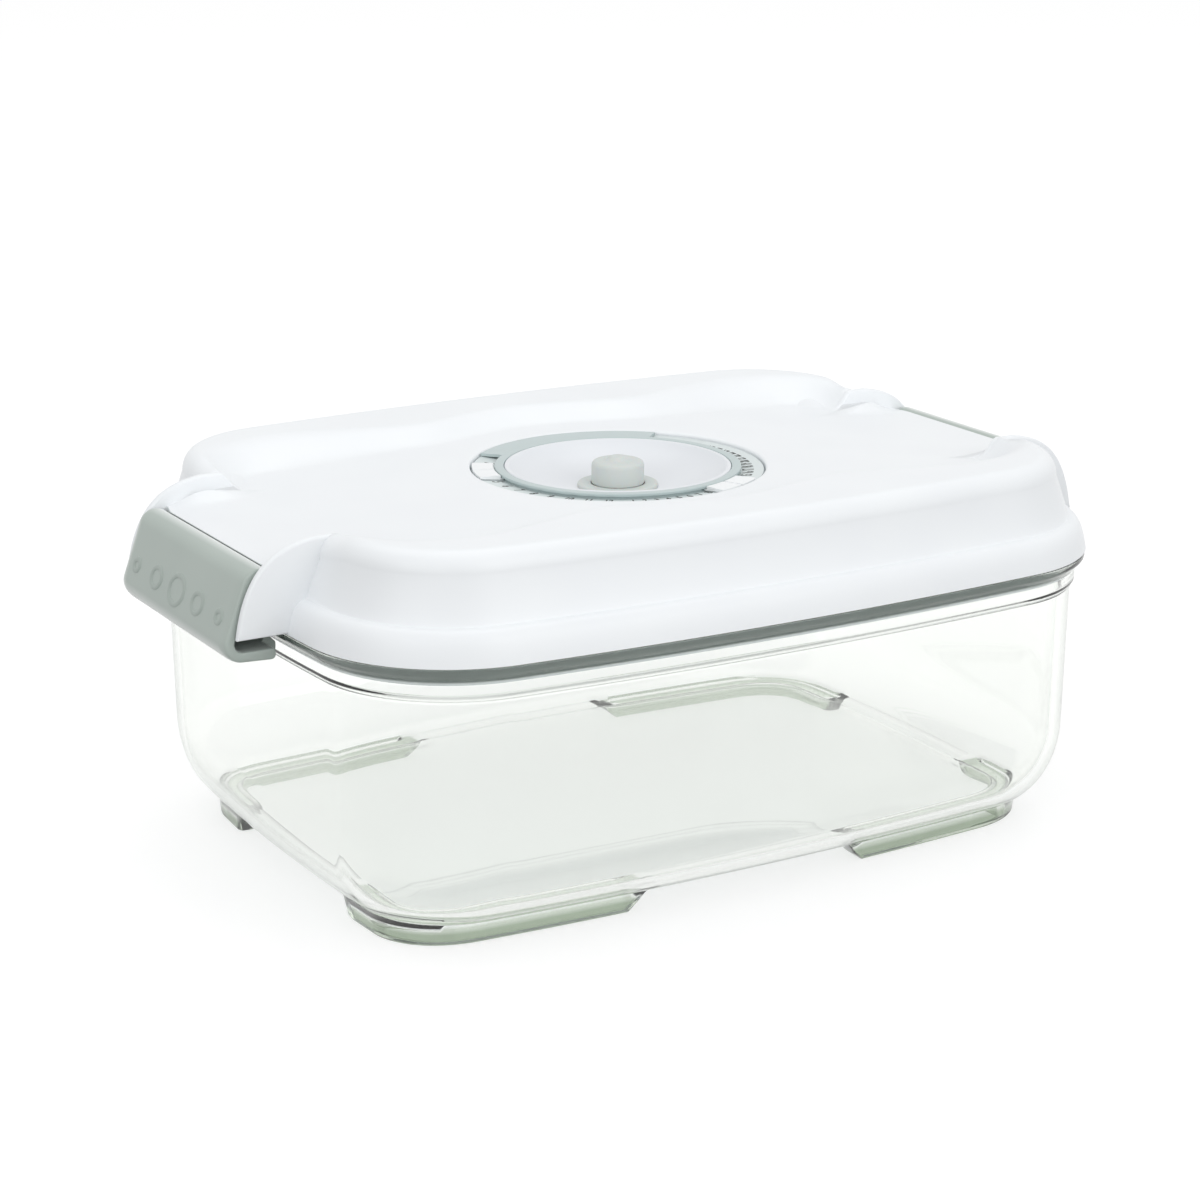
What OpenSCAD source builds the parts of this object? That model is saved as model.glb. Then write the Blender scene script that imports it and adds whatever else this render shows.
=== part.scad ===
// Vacuum food storage container: a clear bowl, a white lid in two mouldings, two side latches,
// a date dial with two sliding pointers round a recessed dish, and a soft air valve in the dish.
// Origin: centre of the footprint, on the surface the feet stand on. X runs latch to latch.

/* [Rim outline] */
// Length of the lid at its lower edge, along X
lid_l = 210; // [190:1:240]
// Width of the lid at its lower edge, along Y
lid_w = 161.4; // [145:0.1:185]
// Radius of the lid's four corners
corner_r = 36.4; // [30:0.1:42]
// Outward bow of each long side
long_bow = 6.4; // [4:0.1:9]
// Outward bow of each short side
short_bow = 5.2; // [3:0.1:7]
// Height of the lid's lower edge above the table
rim_z = 71; // [60:0.5:90]

/* [Bowl] */
// Thickness of the bowl's wall and base
bowl_t = 2.8; // [2:0.1:3.5]
// Height of the curve where the wall turns into the base
bottom_h = 22; // [18:0.5:26]
// Reach of that curve inside the feet's outer faces
turn_past = 4.6; // [3:0.1:6]
// Step from the collar band in to the wall below it
wall_step = 1; // [0.6:0.1:1.6]
// Draft of the wall from the collar down to that curve
wall_draft = 0.6; // [0.2:0.1:1]
// Overhang of the rim beyond the collar band
rim_over = 2.2; // [1.8:0.1:2.6]
// Height of the collar band
collar_h = 4.6; // [3.5:0.1:6]
// Inset of the rim's outer edge from the lid's lower edge
rim_in = 0.2; // [0:0.1:0.5]
// Height of the rim's upright outer edge
rim_edge_h = 1.6; // [1.2:0.1:2.2]
// Rounding of the rim's upper edge
rim_round = 0.4; // [0.2:0.1:0.6]
// Gap between the top of the rim and the lid's lower edge
rim_gap = 0.2; // [0.1:0.1:0.5]
// Height of the corner feet
foot_h = 4.4; // [3:0.1:6]
// Width of the feet, inwards from their outer face
foot_w = 5; // [4:0.1:7]
// Inset of the feet on the short sides
foot_in_x = 13.6; // [11:0.1:16]
// Inset of the feet on the long sides
foot_in_y = 18.6; // [15:0.1:21]
// Distance from the middle of each side to the end of a foot
foot_end = 30.6; // [25:0.1:40]

/* [Lid cover] */
// Thickness of the cover
cover_t = 2.2; // [1.8:0.1:2.6]
// Height of the cover above its lower edge, at the side pads
cover_h = 23.2; // [20:0.1:26]
// Height of the lower skirt
skirt_h = 7.8; // [7:0.1:9]
// Depth of the ledge at the top of the skirt
ledge_in = 4.6; // [4:0.1:5.5]
// Lean of the steep wall above the ledge
wall_lean = 3.4; // [2.4:0.1:4.2]
// Height of the rounded edge at the top of the steep wall
edge_h = 5.2; // [4:0.1:6]
// Width of that rounded edge
edge_w = 4.4; // [3.4:0.1:6.4]
// Drop from the side pads to the deck round the dial
pad_drop = 4.1; // [2.5:0.1:4.5]
// Further fall of the deck from the dial to the latches
deck_fall = 4.1; // [2:0.1:4.5]
// Flat width of the deck round the dial
deck_flat = 2; // [1:0.1:4]
// Width of the slope from that flat up to the pads
slope_w = 9.6; // [7:0.1:12]
// Depth of the bay that the pads leave round the dial
bay_d = 7.5; // [5:0.5:9]
// Half the length of that bay
bay_half = 38; // [30:1:44]
// Radius of the scooped corner of the deck beside each latch
scoop_r = 27; // [22:0.5:30]
// Radius of the low part inside the scoop, towards the pads
scoop_in = 7; // [5:0.5:12]
// Radius of the low part inside the scoop, towards the latch
scoop_end = 18; // [14:0.5:20]
// Radius at which the scoop meets the pads, beside the seat
scoop_wide = 24; // [20:0.5:28]
// Radius at which the scoop meets the pads, towards the latch
scoop_top = 26.5; // [23:0.5:28]

/* [Latches] */
// Width of the latch seat, over the outer faces of its two cheeks
seat_w = 66.8; // [58:0.1:72]
// Thickness of a cheek
cheek_t = 2; // [1.8:0.1:2.6]
// Reach of the cheeks beyond the lid's end
cheek_out = 11.1; // [10.5:0.1:11.6]
// Rise of the cheeks' inner ends above the deck at the latch
cheek_rise = 6.5; // [5.5:0.1:7.5]
// Distance of the hinge pin beyond the lid's end
pin_out = 4.5; // [4:0.1:5]
// Depth of the hinge pin below the deck at the latch
pin_drop = 4.2; // [4:0.1:4.8]
// Diameter of the hinge pin
pin_d = 3; // [2.5:0.1:3.5]
// Radial clearance of the pin in the latch
pin_play = 0.06; // [0.02:0.01:0.1]
// Thickness of the cheek outside each end of the pin
pin_skin = 0.8; // [0.6:0.1:1]
// Radius of the latch's rounded top, round the pin
knuckle_r = 4.3; // [3.8:0.1:4.5]
// Clearance between a latch and the lid
latch_gap = 0.35; // [0.3:0.05:0.5]
// Thickness of the latch plate
plate_t = 2.6; // [2.2:0.1:3]
// Length of the latch plate below the pin
plate_l = 18; // [17:0.1:19]
// Tilt of the latch plate, lower edge outwards
plate_tilt = 20; // [18:0.5:22]
// Radius of the latch's two lower corners
latch_corner_r = 2.5; // [2:0.5:6]
// Outer radius of the bend from the latch plate to the lip under the rim
bend_r = 4.6; // [4:0.1:5.4]
// Depth of the hook under the rim's edge
hook_grip = 1.3; // [1:0.1:1.5]
// Clearance between the hook and the rim's bevel
hook_gap = 0.5; // [0.4:0.05:0.8]
// Width of the hook's flat crest
hook_w = 1; // [0.8:0.1:1.4]
// Radius of the largest raised ring on the latch
ring_r = 4; // [3:0.1:4.4]
// Distance between neighbouring raised rings
ring_pitch = 12.2; // [10:0.1:13]
// Height of the raised rings above the plate
ring_h = 0.4; // [0.3:0.1:0.8]
// Line width of the raised rings
ring_line = 1; // [0.6:0.1:1.2]

/* [Liner and seal] */
// Thickness of the liner plate
liner_t = 3; // [2.5:0.1:3.5]
// Height of the liner plate above the lid's lower edge
liner_up = 0.4; // [0.3:0.1:0.8]
// Depth of the liner's plug below the plate
plug_h = 5.5; // [4:0.1:7]
// Thickness of the plug wall and of the weld rib
plug_t = 2; // [1.6:0.1:2.4]
// Clearance between the plug and the bowl
plug_gap = 0.5; // [0.4:0.05:0.8]
// Thickness of the seal
seal_t = 2; // [1.6:0.1:2.4]
// Width of the seal
seal_w = 1.9; // [1.6:0.1:2.1]
// Clearance between the liner and the cover's skirt
liner_gap = 0.3; // [0.2:0.05:0.5]

/* [Date dial] */
// Outer radius of the dial's groove
dial_r = 36.4; // [34:0.1:38]
// Radius of the dish rim inside the dial
dish_r = 28; // [26:0.1:29]
// Share of the groove's width that the dial frame's inner band takes
band_share = 0.19; // [0.16:0.01:0.28]
// Share of the groove's width that the band overhangs, to hold the pointers down
lip_share = 0.1; // [0.07:0.01:0.12]
// Clearance between the dial frame and the dish
dial_play = 0.06; // [0.02:0.01:0.1]
// Clearance between the dial and the groove's outer wall
dial_gap = 0.4; // [0.3:0.05:0.6]
// Thickness of the number ring
scale_t = 0.8; // [0.6:0.1:1]
// Share of the height under the shield that the number ring's printed slope rises
rise_share = 0.86; // [0.4:0.02:0.9]
// Angle covered by the dial frame's shield
shield_a = 88; // [70:1:100]
// Direction of the shield's middle
shield_dir = 88; // [80:1:100]
// Thickness of the shield and of the band's lip
shield_t = 0.7; // [0.5:0.1:0.8]
// Angle covered by a pointer
pointer_a = 24; // [18:1:26]
// Direction of the month pointer
month_dir = 160; // [150:1:225]
// Direction of the day pointer
day_dir = -65; // [-95:1:20]
// Sliding clearance round a pointer
pointer_gap = 0.3; // [0.25:0.05:0.4]
// Width of the groove across a pointer
pointer_groove = 0.8; // [0.5:0.1:1.2]

/* [Valve] */
// Depth of the dish below its rim
dish_depth = 5.6; // [4.5:0.1:6.5]
// Thickness of the dish
dish_t = 2.2; // [1.8:0.1:2.6]
// Radius of the flat at the bottom of the dish
dish_flat_r = 12; // [11:0.1:14]
// Radius of the soft seat
valve_r = 10; // [9:0.1:10.5]
// Height of the seat above the dish's flat
valve_up = 1; // [0.8:0.1:1.4]
// Radius of the valve button
button_r = 6.5; // [5.5:0.1:7]
// Height of the button above the seat
button_h = 5.6; // [4.5:0.1:6.5]
// Rounding of the button's upper edge
button_round = 1.4; // [1:0.1:2]
// Radius of the small nipple on the button
nipple_r = 3; // [2.4:0.1:3.4]
// Height of the small nipple on the button
nipple_h = 1.1; // [0.8:0.1:2]
// Travel of the button when pressed
press = 1.5; // [1:0.1:1.8]
// Clearance between the button and its seat
button_gap = 0.35; // [0.3:0.05:0.5]
// Radius of the valve stem
stem_r = 2; // [1.6:0.1:2.4]
// Radial clearance of the stem in the retainer
stem_play = 0.03; // [0.02:0.01:0.06]
// Thickness of the stem's retainer
retainer_t = 1.6; // [1.2:0.1:2]
// Width of the stem's retainer beyond the stem
retainer_w = 2.6; // [2:0.1:3]

/* [Hidden] */
$fn = 96;

half_l = lid_l / 2;
half_w = lid_w / 2;
seat_half = seat_w / 2;
cheek_in = seat_half - cheek_t;
pad_z = rim_z + cover_h;
deck_z = pad_z - pad_drop;
latch_z = deck_z - deck_fall;
ledge_z = rim_z + skirt_h;
pin_x = half_l + pin_out;
pin_z = latch_z - pin_drop;
pin_half = seat_half - pin_skin;

// Shared curves

function clamp01(v) = min(1, max(0, v));
function ease(v) = let (t = clamp01(v)) t * t * (3 - 2 * t);
function mix(a, b, t) = a + (b - a) * t;
function unit(a) = [cos(a), sin(a)];
function spread(a, b, n) = [for (i = [0:n - 1]) mix(a, b, i / n)];
function steps(a, b, n) = [for (i = [0:n]) mix(a, b, i / n)];
function bezier(p, t) =
  pow(1 - t, 3) * p[0] + 3 * pow(1 - t, 2) * t * p[1] + 3 * (1 - t) * t * t * p[2] + pow(t, 3) * p[3];
function curve(p, n) = [for (t = steps(0, 1, n)) bezier(p, t)];

// The rim outline: each side is a shallow arc, each corner a tighter arc tangent to both sides.
// A point of it is found from the direction that it faces, so an inset keeps every arc's centre.

function arc_radius(half, bow) = (half * half + bow * bow) / (2 * bow);
long_r = arc_radius(half_l, long_bow);
short_r = arc_radius(half_w, short_bow);
long_c = [0, half_w - long_r];
short_c = [half_l - short_r, 0];
centre_gap = norm(short_c - long_c);
centre_dir = (short_c - long_c) / centre_gap;
long_reach = long_r - corner_r;
short_reach = short_r - corner_r;
along = (pow(long_reach, 2) - pow(short_reach, 2) + pow(centre_gap, 2)) / (2 * centre_gap);
across = sqrt(pow(long_reach, 2) - pow(along, 2));
corner_c = long_c + along * centre_dir + across * [centre_dir.y, -centre_dir.x];
short_end = atan2(corner_c.y - short_c.y, corner_c.x - short_c.x);
long_end = atan2(corner_c.y - long_c.y, corner_c.x - long_c.x);

function rim_point(a) =
  a <= short_end ? short_c + short_r * unit(a)
  : a <= long_end ? corner_c + corner_r * unit(a)
  : long_c + long_r * unit(a);

// Four mirrored quarters of the outline, each column as [point, facing direction]
function mirrored(v, sx, sy) = [v.x * sx, v.y * sy];
function columns(angles) =
  let (last = len(angles) - 1)
  [for (q = [0:3])
    let (sx = q == 1 || q == 2 ? -1 : 1, sy = q > 1 ? -1 : 1)
    for (i = [0:last - 1])
      let (a = angles[q % 2 == 0 ? i : last - i])
      [mirrored(rim_point(a), sx, sy), mirrored(unit(a), sx, sy)]];
function at_inset(column, d) = column[0] - d * column[1];

corner_steps = 10;
plain_columns = columns(concat(
  spread(0, short_end, 6), spread(short_end, long_end, corner_steps), spread(long_end, 90, 7), [90]
));

module rim_shape(d) {
  polygon([for (c = plain_columns) at_inset(c, d)]);
}

module rim_band(z, h, d_out, d_in) {
  translate([0, 0, z]) linear_extrude(height = h) difference() {
    rim_shape(d_out);
    rim_shape(d_in);
  }
}

// Triangles between two neighbouring rings of n points, and from a ring to one middle point
function band_faces(n, low, high) =
  [for (i = [0:n - 1])
    let (j = (i + 1) % n)
    each [[low + i, high + i, high + j], [low + i, high + j, low + j]]];
function cap_faces(n, ring, middle, up) =
  [for (i = [0:n - 1])
    let (j = (i + 1) % n)
    up ? [middle, ring + j, ring + i] : [middle, ring + i, ring + j]];

// Bowl: one clear moulding with its rim, collar band and four corner feet

bowl_top = rim_z - rim_gap;
bevel_z = bowl_top - rim_edge_h;
collar_in = rim_in + rim_over;
collar_top = bevel_z - rim_over;
step_z = collar_top - collar_h;
wall_in = collar_in + wall_step;
turn_out = wall_in + wall_draft;
turn_z = foot_h + bottom_h;
turn_steps = 6;
// Slant of a foot's faces, and of its ends
foot_slant = 0.3;

function foot_inset(c) = foot_in_x * pow(c[1].x, 2) + foot_in_y * pow(c[1].y, 2);
function turn_in(c) = foot_inset(c) + turn_past;
function turn_w(c) = turn_in(c) - turn_out;
function under_z(c, d) =
  turn_z - bottom_h * sqrt(1 - pow(max(0, turn_in(c) - d) / turn_w(c), 2));
function on_foot(c) =
  let (p = at_inset(c, foot_inset(c))) min(abs(p.x), abs(p.y)) > foot_end;

foot_short_a = asin(foot_end / (short_r - foot_in_x));
foot_long_a = acos(foot_end / (long_r - foot_in_y));
foot_short_da = asin(foot_slant / 2 / short_r);
foot_long_da = asin(foot_slant / 2 / long_r);
bowl_columns = columns(concat(
  spread(0, foot_short_a - foot_short_da, 3),
  [foot_short_a - foot_short_da],
  spread(foot_short_a + foot_short_da, short_end, 4),
  spread(short_end, long_end, corner_steps),
  spread(long_end, foot_long_a - foot_long_da, 5),
  [foot_long_a - foot_long_da],
  spread(foot_long_a + foot_long_da, 90, 3),
  [90]
));

// Inset and height of each ring of the bowl at one column, from the underside round to the inside
function bowl_rings(c) =
  let (
    outer = foot_inset(c),
    inner = outer + foot_w,
    foot = on_foot(c),
    low = [turn_in(c), turn_z],
    top_a = acos((turn_past + foot_slant) / turn_w(c))
  )
  concat(
    [[max(low[0], inner + foot_slant) + foot_slant, foot_h]],
    [[inner + foot_slant, under_z(c, inner + foot_slant)]],
    [foot ? [inner, 0] : [inner - foot_slant, under_z(c, inner - foot_slant)]],
    [foot ? [outer, 0] : [outer + foot_slant, under_z(c, outer + foot_slant)]],
    [for (a = steps(top_a, 0, turn_steps)) low - [turn_w(c) * cos(a), bottom_h * sin(a)]],
    [[wall_in, step_z], [collar_in, step_z + wall_step], [collar_in, collar_top], [rim_in, bevel_z],
     [rim_in, bowl_top - rim_round], [rim_in + rim_round, bowl_top], [collar_in + bowl_t, bowl_top],
     [collar_in + bowl_t, step_z + wall_step], [wall_in + bowl_t, step_z]],
    [for (a = steps(0, 90, turn_steps))
      low - [(turn_w(c) - bowl_t) * cos(a), (bottom_h - bowl_t) * sin(a)]]
  );

module bowl() {
  n = len(bowl_columns);
  stations = [for (c = bowl_columns) bowl_rings(c)];
  rings = len(stations[0]);
  points = [for (r = [0:rings - 1]) for (i = [0:n - 1])
    let (s = stations[i][r], p = at_inset(bowl_columns[i], s[0]))
    [p.x, p.y, s[1]]];
  middle = n * rings;
  color("honeydew", 0.4) polyhedron(
    points = concat(points, [[0, 0, foot_h], [0, 0, foot_h + bowl_t]]),
    faces = concat(
      cap_faces(n, 0, middle, false),
      [for (r = [0:rings - 2]) each band_faces(n, r * n, (r + 1) * n)],
      cap_faces(n, (rings - 1) * n, middle + 1, true)
    ),
    convexity = 8
  );
}

// Lid cover: white outer moulding, with a sunken deck between two side pads, a round opening for
// the dial, and at each end a latch seat between two cheeks

edge_in = ledge_in + wall_lean + edge_w;
ledge_under = ledge_z - cover_t;
skirt_in = cover_t + liner_gap / 2;
flat_r = dial_r + deck_flat;
scoop_x = half_l - edge_in + deck_flat - scoop_r;
flare_x = 0.7 * dial_r;
hollow_r = knuckle_r + latch_gap;
// Distance of the deck's end short of the pin's axis, so that the knuckle turns clear of it
deck_short = sqrt(max(0, pow(hollow_r, 2) - pow(pin_drop, 2)));
// Directions round the pin where the hollow for the knuckle starts and ends
hollow_low_a = 225;
hollow_high_a = 120;
// Depth that the cover's own corner is sunk into a cheek
cheek_sink = 0.3;

function deck_floor(x) = deck_z - deck_fall * clamp01((abs(x) - flat_r) / (pin_x - flat_r));

// Rise of the deck from its floor (0) to the side pads (1)
function pad_rise(x, y) =
  let (
    ax = abs(x),
    ay = abs(y),
    t = ease((ax - flare_x) / (scoop_x - flare_x)),
    bay = flat_r + bay_d * ease(1 - ax / bay_half),
    low = mix(bay, seat_half + scoop_in, t),
    high = mix(bay + slope_w, seat_half + scoop_wide, t),
    out = [ax - scoop_x, max(ay - seat_half, 0)],
    scoop = norm(out),
    to_latch = pow(out.x / max(scoop, 1), 2),
    scoop_low = mix(scoop_in, scoop_end, to_latch),
    scoop_high = mix(scoop_wide, scoop_top, to_latch)
  )
  ax <= scoop_x
    ? ease((ay - low) / (high - low))
    : ease((scoop - scoop_low) / (scoop_high - scoop_low)) * ease((ay - cheek_in) / cheek_t);
function deck_at(p) = mix(deck_floor(p.x), pad_z, pad_rise(p.x, p.y));

cheek_a = asin((cheek_in + cheek_sink) / short_r);
seat_a = asin((seat_half - cheek_sink) / short_r);
cover_columns = columns(concat(
  spread(0, cheek_a, 4), [cheek_a], spread(seat_a, short_end, 5),
  spread(short_end, long_end, corner_steps), spread(long_end, 90, 7), [90]
));
function in_seat(c) = abs(c[0].x) > scoop_x && abs(c[0].y) < seat_half - cheek_t / 2;
// A point round the hinge pin, as inset and height at one column
function round_pin(c, r, a) = [abs(c[0].x) - pin_x, pin_z] + r * [-cos(a), sin(a)];

// Outside of the cover at one column, from the lower edge up to the deck's edge
function cover_outside(c) =
  let (top = deck_at(at_inset(c, edge_in)), deck_end = abs(c[0].x) - pin_x + deck_short)
  in_seat(c)
    ? concat(
      [[0, rim_z], [0.05, 0.3] * skirt_h + [0, rim_z], [0.15, 0.6] * skirt_h + [0, rim_z]],
      [for (a = steps(hollow_low_a, hollow_high_a, 6)) round_pin(c, hollow_r, a)],
      [[deck_end, deck_floor(pin_x - deck_short)]])
    : concat(
      [[0, rim_z], [0.1, 0.45] * skirt_h + [0, rim_z], [0.25, 0.85] * skirt_h + [0, rim_z]],
      [[0.6 * ledge_in, ledge_z - 0.04 * skirt_h], [ledge_in, ledge_z],
       [ledge_in + 0.12 * wall_lean, ledge_z + 0.4 * wall_lean]],
      [for (a = steps(0, 90, 4)) [edge_in - edge_w * cos(a), top - edge_h * (1 - sin(a))]]);

// Inside of the cover at one column, from the deck's edge down to the lower edge
function cover_inside(c) =
  let (under = deck_at(at_inset(c, edge_in + cover_t)) - cover_t, inner_r = hollow_r + cover_t)
  concat(
    in_seat(c)
      ? concat(
        [[round_pin(c, inner_r, 170)[0], deck_floor(pin_x - inner_r) - cover_t]],
        [for (a = [170, 195, 215]) round_pin(c, inner_r, a)],
        [[skirt_in + 2 * cheek_sink, ledge_under]])
      : [[edge_in + cover_t, under], [edge_in - 0.4 * edge_w, under - 0.2 * edge_h],
         [edge_in - 0.6 * edge_w + cover_t / 2, under - 0.6 * edge_h],
         [ledge_in + 0.2 * wall_lean + cover_t, ledge_z + 0.4 * wall_lean],
         [ledge_in + cover_t, ledge_under]],
    [[skirt_in + cheek_sink, ledge_under], [skirt_in, rim_z + skirt_h / 2], [cover_t, rim_z]]);

deck_top_steps = [0.1, 0.22, 0.36, 0.5, 0.64, 0.78, 0.9, 1];
deck_under_steps = [1, 0.84, 0.67, 0.5, 0.33, 0.16];
function to_opening(p, t) = mix(p, dial_r * p / norm(p), t);

module cover_shell() {
  n = len(cover_columns);
  lines = [for (c = cover_columns)
    let (
      outside = [for (s = cover_outside(c)) let (p = at_inset(c, s[0])) [p.x, p.y, s[1]]],
      inside = [for (s = cover_inside(c)) let (p = at_inset(c, s[0])) [p.x, p.y, s[1]]],
      top = outside[len(outside) - 1],
      under = inside[0]
    )
    concat(
      outside,
      [for (t = deck_top_steps) let (p = to_opening([top.x, top.y], t)) [p.x, p.y, deck_at(p)]],
      [for (t = deck_under_steps)
        let (p = to_opening([under.x, under.y], t)) [p.x, p.y, deck_at(p) - cover_t]],
      inside)];
  rings = len(lines[0]);
  polyhedron(
    points = [for (r = [0:rings - 1]) for (i = [0:n - 1]) lines[i][r]],
    faces = [for (r = [0:rings - 1]) each band_faces(n, r * n, (r + 1) % rings * n)],
    convexity = 8
  );
}

// Side view of a cheek on the right, as [x, z]
cheek_low = rim_z + rim_gap;
cheek_tip = [half_l + cheek_out, cheek_low];
cheek_back = half_l - edge_in - cheek_t;
cheek_top = [cheek_back + 3 * cheek_t, latch_z + cheek_rise];
module cheek_shape() {
  polygon(concat(
    curve([cheek_tip, [pin_x + 0.95 * knuckle_r, pin_z + 1.1 * knuckle_r],
      [pin_x - 0.6 * knuckle_r, cheek_top.y - cheek_sink * 4], cheek_top], 12),
    [[cheek_back, deck_at([cheek_back, seat_half])], [cheek_back, ledge_z + cover_t],
     [half_l - ledge_in, ledge_z - cover_t / 2], [half_l - cover_t, cheek_low]]
  ));
}

// Extrudes a side view, drawn as [x, z], along Y between two distances
module along_y(from, to) {
  translate([0, to, 0]) rotate([90, 0, 0]) linear_extrude(height = to - from) children();
}

module cheek_pair() {
  difference() {
    for (from = [cheek_in, -seat_half])
      along_y(from, from + cheek_t) cheek_shape();
    along_y(-pin_half, pin_half) translate([pin_x, pin_z]) circle(d = pin_d);
  }
}

module lid_cover() {
  color("whitesmoke") union() {
    cover_shell();
    cheek_pair();
    mirror([1, 0, 0]) cheek_pair();
  }
}

// Latches: each turns on a pin between its cheeks and hooks under the bowl's rim

latch_half = cheek_in - latch_gap;
tilt_out = unit(plate_tilt);
tilt_down = [tilt_out.y, -tilt_out.x];
plate_top = [pin_x, pin_z] + knuckle_r * tilt_out;
plate_low = plate_top + plate_l * tilt_down;
lip_z = plate_low.y - plate_t / 2;
lip_top = lip_z + plate_t;
// Middle of the bend between the plate and the lip
bend_drop = (plate_top.y - bend_r * tilt_out.y - lip_z - bend_r) / tilt_out.x;
bend_c = plate_top - bend_r * tilt_out + bend_drop * tilt_down;
function bend_arc(r, from, to) = [for (a = steps(from, to, 8)) bend_c + r * unit(a)];
hook_x = half_l - rim_in - hook_grip;
hook_out = half_l - rim_in + hook_gap;
// Height of the rim's bevel above a place x, and the hook's height under it
function bevel_over(x) = bevel_z - (half_l - rim_in - x);
function hook_z(x) = bevel_over(x) - hook_gap * sqrt(2);

module latch_shape() {
  difference() {
    union() {
      translate([pin_x, pin_z]) circle(r = knuckle_r);
      polygon(concat(
        [plate_top],
        bend_arc(bend_r, plate_tilt, -90),
        [[hook_x, lip_z], [hook_x, hook_z(hook_x)], [hook_out, hook_z(hook_out)],
         [hook_out + hook_w, hook_z(hook_out)], [hook_out + hook_w + plate_t / 2, lip_top]],
        bend_arc(bend_r - plate_t, -90, plate_tilt),
        [plate_top - plate_t * tilt_out]
      ));
    }
    translate([pin_x, pin_z]) circle(r = pin_d / 2 + pin_play);
  }
}

// End view of a latch, as [y, z], with rounded lower corners
module latch_front() {
  low = lip_z - 1;
  high = pin_z + 2 * knuckle_r;
  for (side = [-1, 1])
    translate([side * (latch_half - latch_corner_r), lip_z + latch_corner_r]) circle(r = latch_corner_r);
  translate([-latch_half, lip_z + latch_corner_r]) square([2 * latch_half, high - lip_z - latch_corner_r]);
  translate([latch_corner_r - latch_half, low]) square([2 * (latch_half - latch_corner_r), high - low]);
}

// Five raised finger rings, the largest in the middle
module finger_rings() {
  middle = plate_top + plate_l / 2 * tilt_down;
  for (i = [-2:2])
    translate([middle.x, i * ring_pitch, middle.y]) rotate([0, 90 - plate_tilt, 0])
      difference() {
        r = ring_r * (1 - abs(i) / 4);
        translate([0, 0, -ring_h]) cylinder(h = 2 * ring_h, r = r);
        translate([0, 0, -2 * ring_h]) cylinder(h = 4 * ring_h, r = r - ring_line);
      }
}

module latch() {
  color("darkseagreen") union() {
    intersection() {
      along_y(-latch_half, latch_half) latch_shape();
      translate([hook_x - 1, 0, 0]) rotate([90, 0, 90]) linear_extrude(height = half_l) latch_front();
    }
    finger_rings();
  }
}

module hinge_pin() {
  color("silver") along_y(-pin_half, pin_half) translate([pin_x, pin_z]) circle(d = pin_d);
}

module right_latch() {
  latch();
}

module left_latch() {
  mirror([1, 0, 0]) latch();
}

module right_hinge_pin() {
  hinge_pin();
}

module left_hinge_pin() {
  mirror([1, 0, 0]) hinge_pin();
}

// Lid liner: white inner moulding, with the seal's groove, the plug, and the dish for the valve

liner_z = rim_z + liner_up;
liner_top = liner_z + liner_t;
liner_in = cover_t + liner_gap + liner_gap / 2;
seal_out = liner_in + liner_gap;
seal_top = bowl_top + seal_t;
plug_in = collar_in + bowl_t + plug_gap;
shelf_z = deck_z - cover_t;
shelf_r = dial_r + deck_flat;
dish_z = deck_z - dish_depth;
valve_top = dish_z + valve_up;
well_depth = press + button_gap;
valve_t = well_depth + valve_up;
valve_z = valve_top - valve_t;
dish_under = valve_z - dish_t;
tube_in = dish_r - dish_t;
stem_hole = stem_r + button_gap;
// Snap bead that holds the dial frame down on the dish
bead = 0.35;
scale_z = shelf_z + scale_t;
bead_z = deck_z - 2 * bead;

module dish_profile() {
  polygon(concat(
    [[tube_in, liner_z], [dish_r, liner_z], [dish_r, shelf_z - dish_t], [shelf_r, shelf_z - dish_t],
     [shelf_r, shelf_z], [dish_r, shelf_z], [dish_r, bead_z], [dish_r + bead, bead_z + bead],
     [dish_r, deck_z]],
    curve([[dish_r - dish_t / 2, deck_z], [dish_r - 2 * dish_t, dish_z + dish_t / 2],
      [dish_flat_r + 2 * dish_t, dish_z], [dish_flat_r, dish_z]], 8),
    [[valve_r, dish_z], [valve_r, valve_z], [stem_hole, valve_z], [stem_hole, dish_under],
     [dish_flat_r, dish_under], [tube_in, dish_under + dish_t]]
  ));
}

module lid_liner() {
  color("white") union() {
    difference() {
      translate([0, 0, liner_z]) linear_extrude(height = liner_t) difference() {
        rim_shape(liner_in);
        circle(r = tube_in);
      }
      rim_band(liner_z - 1, seal_top - liner_z + 1, seal_out, seal_out + seal_w);
    }
    rim_band(liner_z - plug_h, plug_h + liner_t / 2, plug_in, plug_in + plug_t);
    rim_band(liner_top, ledge_under - liner_top, ledge_in, ledge_in + plug_t);
    rotate_extrude() dish_profile();
  }
}

// Soft seal between the liner and the bowl's rim
module lid_seal() {
  color("gray") rim_band(bowl_top, seal_t, seal_out, seal_out + seal_w);
}

// Date dial: a number ring on the groove's floor, a fixed frame, and two pointers that slide

groove_w = dial_r - dish_r;
dial_out = dial_r - dial_gap;
band_out = dish_r + band_share * groove_w;
lip_out = band_out + lip_share * groove_w;
dial_top = deck_z;
lip_low = dial_top - shield_t;
scale_rise = rise_share * (lip_low - scale_z);
pointer_z = scale_z + pointer_gap / 2;

module number_ring() {
  color("lightsteelblue") rotate_extrude() polygon([
    [dish_r + bead, shelf_z], [dial_out, shelf_z], [dial_out, scale_z + scale_rise], [lip_out, scale_z],
    [dish_r + bead, scale_z]
  ]);
}

// Part of a ring round the dial, from its section drawn as [radius, z]
module dial_sector(from, angle, section) {
  rotate([0, 0, from]) rotate_extrude(angle = angle) polygon(section);
}

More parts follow.
